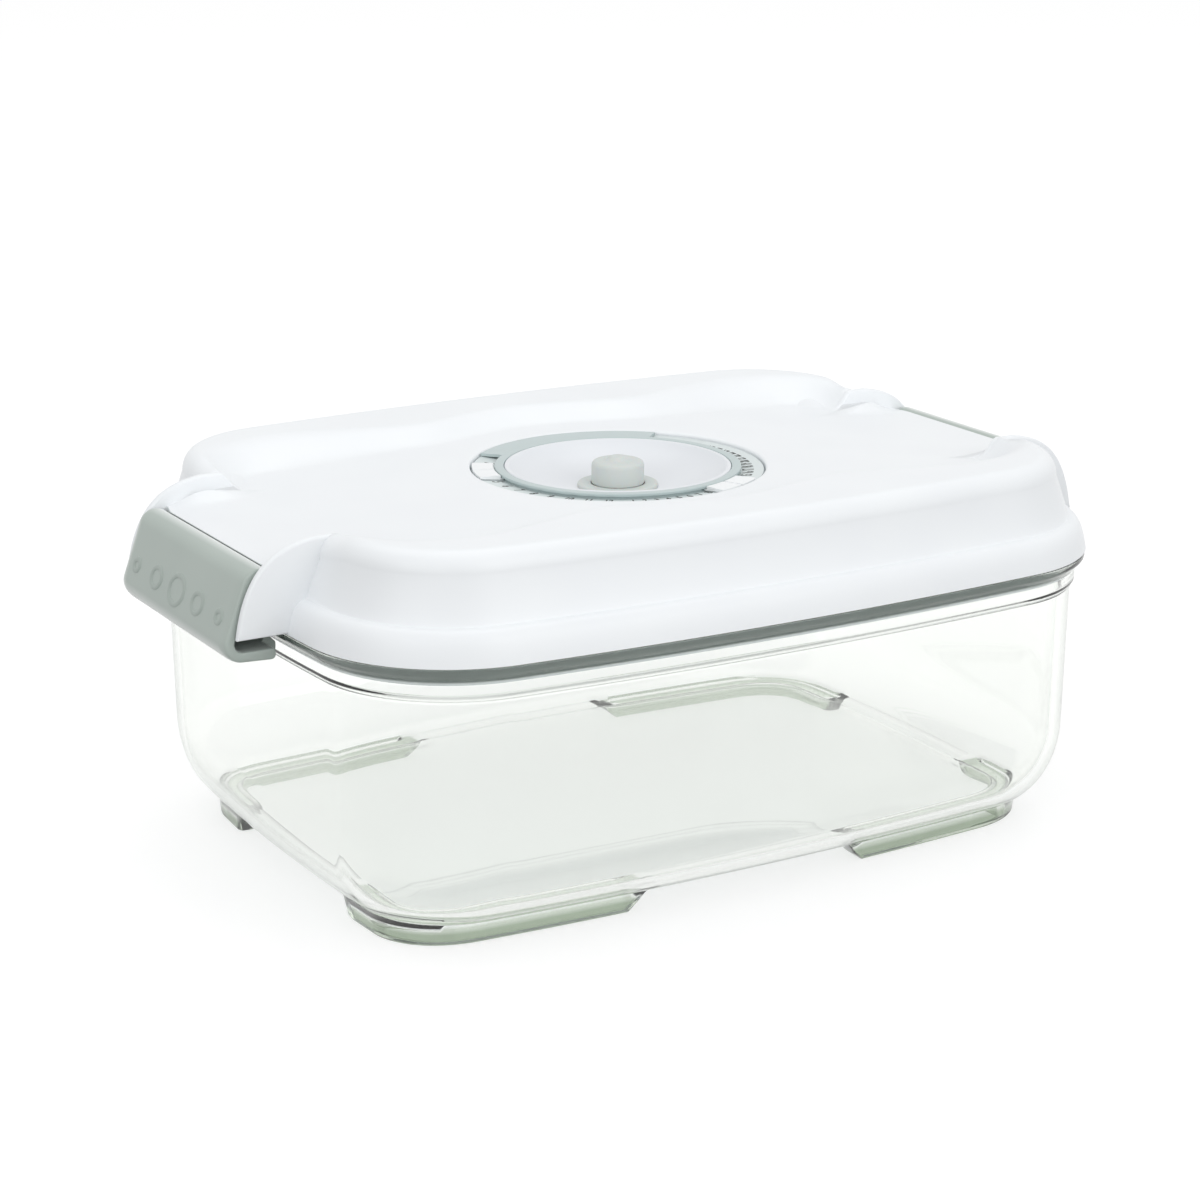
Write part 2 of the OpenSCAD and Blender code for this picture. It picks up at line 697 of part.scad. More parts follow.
module dial_frame() {
  color("lightblue") union() {
    rotate_extrude() polygon([
      [dish_r + dial_play, scale_z], [band_out, scale_z], [band_out, lip_low], [lip_out, lip_low],
      [lip_out, dial_top], [dish_r + 2 * bead, dial_top], [dish_r + 2 * bead, bead_z - dial_play],
      [dish_r + dial_play, bead_z - dial_play]
    ]);
    dial_sector(shield_dir - shield_a / 2, shield_a, [
      [band_out, lip_low], [dial_out, lip_low], [dial_out, dial_top], [band_out, dial_top]
    ]);
  }
}

module pointer(direction) {
  tongue_top = lip_low - pointer_gap / 2;
  groove_z = pointer_z + scale_rise + pointer_gap / 2;
  body_in = lip_out + pointer_gap;
  color("white") difference() {
    dial_sector(direction - pointer_a / 2, pointer_a, [
      [band_out + pointer_gap, pointer_z], [lip_out, pointer_z], [dial_out, pointer_z + scale_rise],
      [dial_out, dial_top], [body_in, dial_top], [body_in, tongue_top], [band_out + pointer_gap, tongue_top]
    ]);
    rotate([0, 0, direction])
      translate([body_in, -pointer_groove / 2, groove_z]) cube([dial_r, pointer_groove, dial_r]);
  }
}

module month_pointer() {
  pointer(month_dir);
}

module day_pointer() {
  pointer(day_dir);
}

// Air valve: a soft seat let into the dish, and a button whose stem is held by a retainer below

module valve_seat() {
  color("linen") translate([0, 0, valve_z]) difference() {
    cylinder(h = valve_t, r = valve_r);
    translate([0, 0, valve_up]) cylinder(h = valve_t, r = button_r + button_gap);
    translate([0, 0, -1]) cylinder(h = valve_t, r = stem_hole);
  }
}

button_top = valve_top + button_h;
retainer_top = dish_under - button_gap;
stem_low = retainer_top - retainer_t;
stem_foot = stem_r + 3 * stem_play + 0.3 * stem_r;

module valve_button() {
  color("gainsboro") rotate_extrude() polygon(concat(
    [[0, stem_low - stem_r / 2], [stem_r, stem_low - stem_r / 2], [stem_foot, stem_low - stem_play],
     [stem_r, stem_low - stem_play], [stem_r, valve_top], [button_r, valve_top]],
    [for (a = steps(0, 90, 4))
      [button_r - button_round, button_top - button_round] + button_round * unit(a)],
    [[nipple_r, button_top]],
    [for (a = steps(30, 90, 3)) [nipple_r * cos(a), button_top + nipple_h * sin(a)]]
  ));
}

module valve_retainer() {
  color("white") translate([0, 0, stem_low]) difference() {
    cylinder(h = retainer_t, r = stem_r + retainer_w);
    translate([0, 0, -1]) cylinder(h = retainer_t + 2, r = stem_r + stem_play);
  }
}

bowl();
lid_cover();
lid_liner();
lid_seal();
left_latch();
right_latch();
left_hinge_pin();
right_hinge_pin();
number_ring();
dial_frame();
month_pointer();
day_pointer();
valve_seat();
valve_button();
valve_retainer();
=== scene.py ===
import math

import bmesh
import bpy
import numpy as np
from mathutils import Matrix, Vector


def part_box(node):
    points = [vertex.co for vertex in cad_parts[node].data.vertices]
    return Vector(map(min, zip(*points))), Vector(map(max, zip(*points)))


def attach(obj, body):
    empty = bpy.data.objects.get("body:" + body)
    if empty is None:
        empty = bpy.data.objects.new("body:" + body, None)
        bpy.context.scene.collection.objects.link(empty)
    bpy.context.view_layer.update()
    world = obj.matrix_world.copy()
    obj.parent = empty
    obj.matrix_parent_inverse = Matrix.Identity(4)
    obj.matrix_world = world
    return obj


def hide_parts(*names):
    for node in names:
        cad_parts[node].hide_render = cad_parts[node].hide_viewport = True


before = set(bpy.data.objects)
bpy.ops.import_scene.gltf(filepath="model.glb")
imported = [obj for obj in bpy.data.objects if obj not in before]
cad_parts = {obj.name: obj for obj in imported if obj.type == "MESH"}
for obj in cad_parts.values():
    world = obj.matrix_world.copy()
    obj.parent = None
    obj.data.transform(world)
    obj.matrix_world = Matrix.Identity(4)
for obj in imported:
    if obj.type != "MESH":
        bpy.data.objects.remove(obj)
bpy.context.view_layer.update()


# Bowl
# One piece of pressed clear glass, slightly green where light runs a long way through it.
# Rim, collar band and the four corner feet are pressed in the same mould as the wall.
MM = 0.001
scene = bpy.context.scene
bowl_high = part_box("bowl")[1]
rim_inset = 0.2 * MM
half_length = bowl_high.x + rim_inset
half_width = bowl_high.y + rim_inset
corner_radius = 36.4 * MM
long_bow, short_bow = 6.4 * MM, 5.2 * MM


def arc_radius(half, bow):
    """Radius of the shallow arc that bows out by that much over a side of that half length."""
    return (half**2 + bow**2) / (2 * bow)


long_radius = arc_radius(half_length, long_bow)
short_radius = arc_radius(half_width, short_bow)
long_centre = np.array([0, half_width - long_radius])
short_centre = np.array([half_length - short_radius, 0])
centre_line = short_centre - long_centre
centre_gap = np.linalg.norm(centre_line)
centre_line = centre_line / centre_gap
long_reach = long_radius - corner_radius
short_reach = short_radius - corner_radius
along = (long_reach**2 - short_reach**2 + centre_gap**2) / (2 * centre_gap)
across = math.sqrt(long_reach**2 - along**2)
corner_centre = long_centre + along * centre_line + across * np.array([centre_line[1], -centre_line[0]])
short_end = math.atan2(*(corner_centre - short_centre)[::-1])
long_end = math.atan2(*(corner_centre - long_centre)[::-1])


def rim_columns(short_steps, corner_steps, long_steps, extra=()):
    """Points round the lid's lower edge and the direction that each one faces."""
    quarter = np.unique(np.concatenate([
        np.linspace(0, short_end, short_steps, endpoint=False),
        np.linspace(short_end, long_end, corner_steps, endpoint=False),
        np.linspace(long_end, math.pi / 2, long_steps),
        extra,
    ]))
    facing = np.stack([np.cos(quarter), np.sin(quarter)], 1)
    at = np.where(
        (quarter <= short_end)[:, None], short_centre + short_radius * facing,
        np.where((quarter <= long_end)[:, None], corner_centre + corner_radius * facing,
                 long_centre + long_radius * facing))
    rounds = []
    for sign_x, sign_y, order in ((1, 1, 1), (-1, 1, -1), (-1, -1, 1), (1, -1, -1)):
        sign = np.array([sign_x, sign_y])
        rounds.append(np.stack([at[::order] * sign, facing[::order] * sign])[:, :-1])
    return np.concatenate(rounds, 1)


def inset_ring(columns, inset, height):
    """One ring of points at an inset from the lid's lower edge, each at its own height."""
    at, facing = columns
    flat = at - np.broadcast_to(inset, len(at))[:, None] * facing
    return np.column_stack([flat, np.broadcast_to(height, len(at))])


def filleted(corners, radii, steps=4, side_share=0.45):
    """A line of corners, each turned into a smooth bend that takes at most a share of its sides."""
    corners = [np.asarray(c, float) for c in corners]
    line = []
    for i, (corner, radius) in enumerate(zip(corners, radii)):
        if not radius:
            line.append(corner)
            continue
        before, after = corners[i - 1] - corner, corners[(i + 1) % len(corners)] - corner
        room_before = np.linalg.norm(before, axis=-1, keepdims=True)
        room_after = np.linalg.norm(after, axis=-1, keepdims=True)
        cut = np.minimum(radius, side_share * np.minimum(room_before, room_after))
        start, end = corner + before / room_before * cut, corner + after / room_after * cut
        for t in np.linspace(0, 1, steps + 1):
            line.append((1 - t) ** 2 * start + 2 * t * (1 - t) * corner + t**2 * end)
    return line


def ease(value):
    """Soft step from 0 to 1."""
    t = np.clip(value, 0, 1)
    return t * t * (3 - 2 * t)


def mix(a, b, t):
    """A value between two."""
    return a + (b - a) * t


def skin(shape, loops, wrap=False, capped=False):
    """Adds the surface that runs through loops of points, in order, to a shape."""
    rows = [[shape.verts.new(p) for p in loop] for loop in loops]
    for low, high in list(zip(rows, rows[1:])) + ([(rows[-1], rows[0])] if wrap else []):
        for i in range(len(low)):
            j = (i + 1) % len(low)
            shape.faces.new((low[i], low[j], high[j], high[i]))
    if capped:
        shape.faces.new(rows[0][::-1])
        shape.faces.new(rows[-1])


def make_piece(name, shape, finish, sharp=38, weld=0.002 * MM):
    """Turns a built shape into a smooth piece that is sharp only at its real edges."""
    bmesh.ops.remove_doubles(shape, verts=shape.verts, dist=weld)
    bmesh.ops.recalc_face_normals(shape, faces=shape.faces)
    mesh = bpy.data.meshes.new(name)
    shape.to_mesh(mesh)
    shape.free()
    mesh.shade_smooth()
    mesh.set_sharp_from_angle(angle=math.radians(sharp))
    mesh.materials.append(finish)
    piece = bpy.data.objects.new(name, mesh)
    scene.collection.objects.link(piece)
    return piece


def srgb(red, green, blue):
    """A colour as it looks on screen, 0 to 255, as the light values a shader takes."""
    levels = [v / 255 for v in (red, green, blue)]
    return [v / 12.92 if v <= 0.04045 else ((v + 0.055) / 1.055) ** 2.4 for v in levels] + [1]


bowl_top = bowl_high.z
wall_thickness = 2.8 * MM
rim_edge, rim_overhang = 1.6 * MM, 2.2 * MM
collar_height, wall_step, wall_draft = 4.6 * MM, 1.0 * MM, 0.6 * MM
foot_height, foot_width = 4.4 * MM, 5.0 * MM
foot_inset_short, foot_inset_long, foot_end = 13.6 * MM, 18.6 * MM, 30.6 * MM
foot_blend = 3.0 * MM
turn_height, turn_past = 22.0 * MM, 4.6 * MM
bevel_z = bowl_top - rim_edge
collar_inset = rim_inset + rim_overhang
collar_z = bevel_z - rim_overhang
step_z = collar_z - collar_height
wall_inset = collar_inset + wall_step
turn_z = foot_height + turn_height

bowl_columns = rim_columns(26, 26, 30)
facing_x, facing_y = bowl_columns[1].T
foot_outer = foot_inset_short * facing_x**2 + foot_inset_long * facing_y**2
foot_inner = foot_outer + foot_width
foot_at = np.abs(inset_ring(bowl_columns, foot_outer, 0)[:, :2]).min(1)
foot_share = ease((foot_at - foot_end) / foot_blend + 0.5)
turn_inset = foot_outer + turn_past
turn_width = turn_inset - wall_inset - wall_draft


def under_bowl(inset):
    """Height of the bowl's underside at an inset, where it turns from wall to base."""
    reach = np.clip((turn_inset - inset) / turn_width, 0, 1)
    return turn_z - turn_height * np.sqrt(1 - reach**2)


def bowl_point(inset, height):
    """A place on the bowl's section."""
    count = len(facing_x)
    return np.stack([np.broadcast_to(inset, count), np.broadcast_to(height, count)], -1)


foot_slant, foot_root, foot_edge, base_margin = 0.5 * MM, 0.8 * MM, 1.2 * MM, 9.0 * MM
foot_low = mix(under_bowl(foot_inner), 0, foot_share)
foot_front = mix(under_bowl(foot_outer), 0, foot_share)
foot_line = filleted(
    [bowl_point(foot_inner + base_margin, foot_height),
     bowl_point(foot_inner + foot_slant, under_bowl(foot_inner)),
     bowl_point(foot_inner, foot_low), bowl_point(foot_outer, foot_front),
     bowl_point(foot_outer - foot_slant, under_bowl(foot_outer - foot_slant))],
    [0, foot_root, foot_edge, foot_edge, 0], 5)
turn_start = np.arccos((turn_past + foot_slant) / turn_width)
turn_steps = 16
outer_turn = [
    bowl_point(turn_inset - turn_width * np.cos(a), turn_z - turn_height * np.sin(a))
    for a in np.linspace(turn_start, 0, turn_steps)][1:]
step_bend, collar_bend, rim_round, mouth_round = 0.6 * MM, 0.8 * MM, 0.5 * MM, 0.9 * MM
rim_line = filleted(
    [outer_turn[-1], bowl_point(wall_inset, step_z), bowl_point(collar_inset, step_z + wall_step),
     bowl_point(collar_inset, collar_z), bowl_point(rim_inset, bevel_z), bowl_point(rim_inset, bowl_top),
     bowl_point(collar_inset + wall_thickness, bowl_top),
     bowl_point(collar_inset + wall_thickness, step_z + wall_step),
     bowl_point(wall_inset + wall_thickness, step_z),
     bowl_point(wall_inset + wall_draft + wall_thickness, turn_z)],
    [0, step_bend, step_bend, collar_bend, rim_round, rim_round, mouth_round, collar_bend, collar_bend, 0],
    4)[1:]
inner_turn = [
    bowl_point(turn_inset - (turn_width - wall_thickness) * np.cos(a),
               turn_z - (turn_height - wall_thickness) * np.sin(a))
    for a in np.linspace(0, math.pi / 2, turn_steps)][1:]
bowl_rings = [inset_ring(bowl_columns, *line.T) for line in foot_line + outer_turn + rim_line + inner_turn]
spread_out = np.array([1, 1, 0])
floor_shares = (0, 0.35, 0.7, 0.9)
under_rings = [bowl_rings[0] * mix(1 - spread_out, 1, s) for s in floor_shares]
inside_rings = [bowl_rings[-1] * mix(1 - spread_out, 1, s) for s in floor_shares[::-1]]

bowl_shape = bmesh.new()
skin(bowl_shape, under_rings + bowl_rings + inside_rings)

clear_glass = bpy.data.materials.new("clear_pressed_glass")
clear_glass.use_nodes = True
glass_nodes, glass_links = clear_glass.node_tree.nodes, clear_glass.node_tree.links
glass_shader = glass_nodes["Principled BSDF"]
glass_shader.inputs["Transmission Weight"].default_value = 1
glass_shader.inputs["IOR"].default_value = 1.5
glass_place = glass_nodes.new("ShaderNodeTexCoord")
glass_clouds = glass_nodes.new("ShaderNodeTexNoise")
glass_clouds.inputs["Scale"].default_value = 40
glass_clouds.inputs["Detail"].default_value = 3
glass_links.new(glass_place.outputs["Object"], glass_clouds.inputs["Vector"])
# Painted dark reflection at glancing edges: where the bowl is seen edge-on, on silhouettes and fillets, the
# Layer Weight ramp turns the glass's colour grey-green. Part of this is the real green of thick glass; most
# of the darkening is painted shade standing in for dark surroundings reflected inside the glass.
glass_edge = glass_nodes.new("ShaderNodeLayerWeight")
glass_edge_tint_and_shade = glass_nodes.new("ShaderNodeValToRGB")
glass_edge_tint_and_shade.color_ramp.elements[0].color = srgb(253, 254, 253)
glass_edge_tint_and_shade.color_ramp.elements[1].color = srgb(124, 138, 128)
for place, colour in ((0.7, (252, 253, 251)), (0.9, (204, 213, 204))):
    glass_edge_tint_and_shade.color_ramp.elements.new(place).color = srgb(*colour)
glass_links.new(glass_edge.outputs["Facing"], glass_edge_tint_and_shade.inputs["Fac"])
# Painted shade by height. The feet are coloured a darker grey-green: partly the real green of thick glass,
# partly painted shadow and dark reflection. The grey band at the rim, under the lid's edge, is painted
# shade. The wall between them stays clear.
glass_level = glass_nodes.new("ShaderNodeSeparateXYZ")
glass_links.new(glass_place.outputs["Object"], glass_level.inputs["Vector"])
glass_share = glass_nodes.new("ShaderNodeMapRange")
glass_share.inputs["From Max"].default_value = bowl_top
glass_links.new(glass_level.outputs["Z"], glass_share.inputs["Value"])
glass_height_shade = glass_nodes.new("ShaderNodeValToRGB")
foot_tint_and_shade, wall_tint, rim_painted_shade = srgb(170, 182, 164), srgb(255, 255, 255), srgb(175, 181, 177)
glass_height_shade.color_ramp.elements[0].color = foot_tint_and_shade
glass_height_shade.color_ramp.elements[1].color = rim_painted_shade
foot_shade_drop, wall_tint_drop, rim_shade_rise = 1.4 * MM, 0.4 * MM, 0.8 * MM
for level, colour in ((foot_height - foot_shade_drop, foot_tint_and_shade), (foot_height - wall_tint_drop, wall_tint),
                      (collar_z, wall_tint), (collar_z + rim_shade_rise, rim_painted_shade)):
    glass_height_shade.color_ramp.elements.new(level / bowl_top).color = colour
glass_links.new(glass_share.outputs["Result"], glass_height_shade.inputs["Fac"])
# Multiplies the painted edge shade and the painted height shade into the glass's colour.
glass_colour = glass_nodes.new("ShaderNodeMix")
glass_colour.data_type, glass_colour.blend_type = "RGBA", "MULTIPLY"
glass_colour.inputs["Factor"].default_value = 1
glass_links.new(glass_edge_tint_and_shade.outputs["Color"], glass_colour.inputs["A"])
glass_links.new(glass_height_shade.outputs["Color"], glass_colour.inputs["B"])
glass_links.new(glass_colour.outputs["Result"], glass_shader.inputs["Base Color"])
glass_polish = glass_nodes.new("ShaderNodeMapRange")
glass_polish.inputs["To Max"].default_value = 0.025
glass_links.new(glass_clouds.outputs["Fac"], glass_polish.inputs["Value"])
glass_links.new(glass_polish.outputs["Result"], glass_shader.inputs["Roughness"])
glass_depth = glass_nodes.new("ShaderNodeVolumeAbsorption")
glass_depth.inputs["Color"].default_value = srgb(196, 212, 190)
glass_depth.inputs["Density"].default_value = 8
glass_output = glass_nodes["Material Output"]
glass_links.new(glass_depth.outputs["Volume"], glass_output.inputs["Volume"])
glass_shadow = glass_nodes.new("ShaderNodeBsdfTransparent")
glass_shadow.inputs["Color"].default_value = srgb(226, 236, 231)
glass_rays = glass_nodes.new("ShaderNodeLightPath")
glass_mix = glass_nodes.new("ShaderNodeMixShader")
glass_links.new(glass_rays.outputs["Is Shadow Ray"], glass_mix.inputs[0])
glass_links.new(glass_shader.outputs["BSDF"], glass_mix.inputs[1])
glass_links.new(glass_shadow.outputs["BSDF"], glass_mix.inputs[2])
glass_links.new(glass_mix.outputs["Shader"], glass_output.inputs["Surface"])

glass_bowl = make_piece("glass_bowl", bowl_shape, clear_glass, 60)
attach(glass_bowl, "bowl")
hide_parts("bowl")


# Lid liner
# White inner moulding of the lid, in glossy plastic: a plate with the plug that drops into the
# bowl, a groove for the seal, and in its middle the tube and the round dish for the air valve.
liner_low, liner_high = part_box("lid_liner")
rim_z = bowl_top + rim_inset
deck_z = liner_high.z
cover_thickness = 2.2 * MM
plug_low, plate_thickness, plate_rise = liner_low.z, 3.0 * MM, 0.4 * MM
plate_low = rim_z + plate_rise
plate_top = plate_low + plate_thickness
plate_inset, seal_inset, seal_width, seal_rise = 2.65 * MM, 2.95 * MM, 1.9 * MM, 2.0 * MM
seal_top = bowl_top + seal_rise
plug_inset, plug_thickness = 5.7 * MM, 2.0 * MM
dish_radius, dish_flat, dish_depth, dish_thickness = 28.0 * MM, 12.0 * MM, 5.6 * MM, 2.2 * MM
dial_radius, shelf_z = 36.4 * MM, deck_z - cover_thickness
dish_z = deck_z - dish_depth
valve_radius, valve_low = 10.0 * MM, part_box("valve_seat")[0].z
tube_radius, stem_hole = dish_radius - dish_thickness, 2.35 * MM
dish_under = valve_low - dish_thickness
turning_steps = 160


def moulded_skin_group():
    """Shader group for moulded plastic and rubber: soft clouds and the fine skin of the mould."""
    group = bpy.data.node_groups.new("moulded_skin", "ShaderNodeTree")
    for name, value in (("Cloud Scale", 60), ("Grain Scale", 2500)):
        socket = group.interface.new_socket(name, in_out="INPUT", socket_type="NodeSocketFloat")
        socket.default_value = value
    for name in ("Cloud", "Grain"):
        group.interface.new_socket(name, in_out="OUTPUT", socket_type="NodeSocketFloat")
    given, result = group.nodes.new("NodeGroupInput"), group.nodes.new("NodeGroupOutput")
    place = group.nodes.new("ShaderNodeTexCoord")
    for name, detail in (("Cloud", 0.6), ("Grain", 2)):
        noise = group.nodes.new("ShaderNodeTexNoise")
        noise.inputs["Detail"].default_value = detail
        group.links.new(place.outputs["Object"], noise.inputs["Vector"])
        group.links.new(given.outputs[name + " Scale"], noise.inputs["Scale"])
        group.links.new(noise.outputs["Fac"], result.inputs[name])
    return group


moulded_skin = moulded_skin_group()


def moulded_finish(name, dark, light, gloss, dull, bump=0.02, grain=2500, clouds=60):
    """A moulded material between two close colours, with clouded gloss and a fine skin."""
    finish = bpy.data.materials.new(name)
    finish.use_nodes = True
    nodes, links = finish.node_tree.nodes, finish.node_tree.links
    shader = nodes["Principled BSDF"]
    surface = nodes.new("ShaderNodeGroup")
    surface.node_tree = moulded_skin
    surface.inputs["Cloud Scale"].default_value = clouds
    surface.inputs["Grain Scale"].default_value = grain
    colour = nodes.new("ShaderNodeValToRGB")
    colour.color_ramp.elements[0].color = srgb(*dark)
    colour.color_ramp.elements[1].color = srgb(*light)
    links.new(surface.outputs["Cloud"], colour.inputs["Fac"])
    links.new(colour.outputs["Color"], shader.inputs["Base Color"])
    polish = nodes.new("ShaderNodeMapRange")
    polish.inputs["To Min"].default_value = gloss
    polish.inputs["To Max"].default_value = dull
    links.new(surface.outputs["Cloud"], polish.inputs["Value"])
    links.new(polish.outputs["Result"], shader.inputs["Roughness"])
    relief = nodes.new("ShaderNodeBump")
    relief.inputs["Strength"].default_value = bump
    relief.inputs["Distance"].default_value = 0.1 * MM
    links.new(surface.outputs["Grain"], relief.inputs["Height"])
    links.new(relief.outputs["Normal"], shader.inputs["Normal"])
    return finish


def turned(shape, profile, start=0.0, sweep=2 * math.pi, steps=turning_steps):
    """Adds a closed profile, given as radius and height, turned about the lid's middle."""
    whole = sweep >= 2 * math.pi - 1e-6
    angles = np.linspace(start, start + sweep, steps, endpoint=not whole)
    profile = np.asarray(profile)
    loops = [np.column_stack([profile[:, 0] * math.cos(a), profile[:, 0] * math.sin(a), profile[:, 1]])
             for a in angles]
    skin(shape, loops, wrap=whole, capped=not whole)


def bezier(points, count):
    """Points along a curve with two handles."""
    a, b, c, d = (np.asarray(p, float) for p in points)
    return [(1 - t) ** 3 * a + 3 * (1 - t) ** 2 * t * b + 3 * (1 - t) * t * t * c + t**3 * d
            for t in np.linspace(0, 1, count)]


liner_columns = rim_columns(20, 22, 24)
plate_edge, plug_edge, plug_root = 0.4 * MM, 0.6 * MM, 0.8 * MM
plate_line = filleted(
    [(plate_inset, plate_top), (plate_inset, plate_low), (seal_inset, plate_low), (seal_inset, seal_top),
     (seal_inset + seal_width, seal_top), (seal_inset + seal_width, plate_low), (plug_inset, plate_low),
     (plug_inset, plug_low), (plug_inset + plug_thickness, plug_low),
     (plug_inset + plug_thickness, plate_low)],
    [plate_edge, 0, 0, 0, 0, 0, plate_edge, plug_edge, plug_edge, plug_root], 3)
plate_rings = [inset_ring(liner_columns, *point) for point in plate_line]
to_tube = tube_radius / np.linalg.norm(plate_rings[-1][:, :2], axis=1)
plate_shares = (0.3, 0.6, 1)
under_plate = [np.column_stack([plate_rings[-1][:, :2] * mix(1, to_tube, s)[:, None],
                                np.full(len(to_tube), plate_low)]) for s in plate_shares]
over_plate = [np.column_stack([ring[:, :2], np.full(len(to_tube), plate_top)])
              for ring in under_plate[::-1]]
liner_shape = bmesh.new()
skin(liner_shape, plate_rings + under_plate + over_plate, wrap=True)
shelf_margin, dish_lip, dish_steps = 2.0 * MM, 0.5 * MM, 28
shelf_radius = dial_radius + shelf_margin
dish_wall = bezier([(dish_radius - dish_thickness / 2, deck_z),
                    (dish_radius - 2 * dish_thickness, dish_z + dish_thickness / 2),
                    (dish_flat + 2 * dish_thickness, dish_z), (dish_flat, dish_z)], dish_steps)
dish_rim = filleted(
    [(dish_radius, shelf_z), (dish_radius, deck_z), *dish_wall[:2]], [0, dish_lip, dish_lip, 0], 5)
turned(liner_shape, [
    (tube_radius, plate_low), (dish_radius, plate_low), (dish_radius, shelf_z - dish_thickness),
    (shelf_radius, shelf_z - dish_thickness), (shelf_radius, shelf_z), *dish_rim, *dish_wall[2:],
    (valve_radius, dish_z), (valve_radius, valve_low), (stem_hole, valve_low), (stem_hole, dish_under),
    (dish_flat, dish_under), (tube_radius, dish_under + dish_thickness)])
# The liner's white is set a little greyer than the cover's. This is painted shade for the sunken dish, the
# only part of the liner that shows.
liner_dish_shade_white = moulded_finish("white_gloss_liner", (224, 227, 231), (230, 233, 237), 0.28, 0.36, 0.012)
white_liner = make_piece("white_liner", liner_shape, liner_dish_shade_white)
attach(white_liner, "lid")
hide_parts("lid_liner")


# Lid seal
# Soft grey rubber ring in the liner's groove, pressed on the bowl's rim. It is moulded in one
# loop with rounded edges and stretched into the groove.
seal_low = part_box("lid_seal")[0].z
seal_round = 0.7 * MM
seal_line = filleted(
    [(seal_inset, seal_low), (seal_inset + seal_width, seal_low), (seal_inset + seal_width, seal_top),
     (seal_inset, seal_top)], [seal_round] * 4, 4)
seal_shape = bmesh.new()
skin(seal_shape, [inset_ring(liner_columns, *point) for point in seal_line], wrap=True)
seal_grey = moulded_finish("grey_rubber_seal", (92, 100, 97), (106, 114, 111), 0.5, 0.62, 0.08)
rubber_seal = make_piece("rubber_seal", seal_shape, seal_grey)
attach(rubber_seal, "lid")
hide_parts("lid_seal")


# Number ring
# Thin pale plastic ring on the floor of the dial's groove, rising a little outwards. It is printed
# in dark ink with the months, 1 to 12, on the left and the days, 1 to 31, on the right.
ring_low, ring_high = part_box("number_ring")
ring_inner, ring_outer, ring_edge = 28.35 * MM, ring_high.x, 0.2 * MM
print_inner, print_rise = 30.4 * MM, 0.602 * MM
ring_flat = ring_high.z - print_rise
print_tilt = math.atan2(print_rise, ring_outer - print_inner)
track_shape = bmesh.new()
turned(track_shape, filleted(
    [(ring_inner, ring_low.z), (ring_outer, ring_low.z), (ring_outer, ring_high.z),
     (print_inner, ring_flat), (ring_inner, ring_flat)], [0, 0, ring_edge, 0, 0], 3))
track_pale = moulded_finish("pale_number_ring", (212, 221, 221), (220, 228, 228), 0.3, 0.4, 0.02)
number_track = make_piece("number_track", track_shape, track_pale)
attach(number_track, "lid")
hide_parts("number_ring")

month_first, month_step, month_count = math.radians(140), math.radians(8.7), 12
day_first, day_step, day_count = math.radians(-114), math.radians(5.1), 31
month_height, day_height, print_weight = 4.2 * MM, 3.9 * MM, 0.1 * MM
print_radius, print_thickness, print_narrow = 32.2 * MM, 0.015 * MM, 0.54


def print_number(shape, number, height, angle):
    """Adds a narrow printed number to a shape, its foot towards the rim of the dial."""
    letters = bpy.data.curves.new("number", "FONT")
    letters.body = str(number)
    letters.size = height
    letters.align_x, letters.align_y = "CENTER", "CENTER"
    letters.extrude, letters.offset = print_thickness, print_weight
    letters.resolution_u = 3
    holder = bpy.data.objects.new("number", letters)
    scene.collection.objects.link(holder)
    holder.location = (print_radius * math.cos(angle), print_radius * math.sin(angle),
                       ring_flat + (print_radius - print_inner) * math.tan(print_tilt) + print_thickness)
    holder.rotation_euler = (-print_tilt, 0, angle + math.pi / 2)
    holder.scale.x = print_narrow
    bpy.context.view_layer.update()
    flat = holder.evaluated_get(bpy.context.evaluated_depsgraph_get()).to_mesh()
    flat.transform(holder.matrix_world)
    shape.from_mesh(flat)
    bpy.data.objects.remove(holder)
    bpy.data.curves.remove(letters)


print_shape = bmesh.new()
for month in range(month_count):
    print_number(print_shape, month + 1, month_height, month_first + month * month_step)
for day in range(day_count):
    print_number(print_shape, day + 1, day_height, day_first + day * day_step)
print_ink = moulded_finish("dark_printed_ink", (20, 24, 24), (38, 42, 42), 0.45, 0.6, 0.02)
track_numbers = make_piece("track_numbers", print_shape, print_ink, 20)
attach(track_numbers, "lid")


# Dial frame
# Pale blue-grey plastic band that snaps round the dish, with a wide shield at the back that covers
# part of the number ring. Its overhanging lip holds the two pointers down.
frame_low, frame_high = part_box("dial_frame")
band_inner, band_outer, lip_outer = 28.1 * MM, 29.6 * MM, print_inner
lip_thickness = 0.7 * MM
lip_low = frame_high.z - lip_thickness
shield_from, shield_sweep = math.radians(44), math.radians(88)
band_edge, lip_edge = 0.25 * MM, 0.1 * MM
shield_cut, shield_steps = 5e-5, 60


def frame_loop(angle, reach):
    """The frame's section at an angle: the band with its lip, drawn out as far as it reaches there."""
    line = np.array(filleted(
        [(band_inner, frame_low.z), (band_outer, frame_low.z), (band_outer, lip_low), (reach, lip_low),
         (reach, frame_high.z), (band_inner, frame_high.z)], [0, 0, 0, lip_edge, band_edge, band_edge], 4))
    return np.column_stack([line[:, 0] * math.cos(angle), line[:, 0] * math.sin(angle), line[:, 1]])


shield_to, shield_next = shield_from + shield_sweep, shield_from + 2 * math.pi
frame_loops = [frame_loop(a, ring_outer) for a in np.linspace(shield_from, shield_to, shield_steps)]
frame_loops += [frame_loop(a, lip_outer)
                for a in np.linspace(shield_to + shield_cut, shield_next - shield_cut, turning_steps)]
dial_shape = bmesh.new()
skin(dial_shape, frame_loops, wrap=True)
dial_grey = moulded_finish("pale_blue_grey_dial", (178, 193, 193), (189, 202, 202), 0.28, 0.36, 0.02)
dial_band = make_piece("dial_band", dial_shape, dial_grey)
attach(dial_band, "lid")
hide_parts("dial_frame")


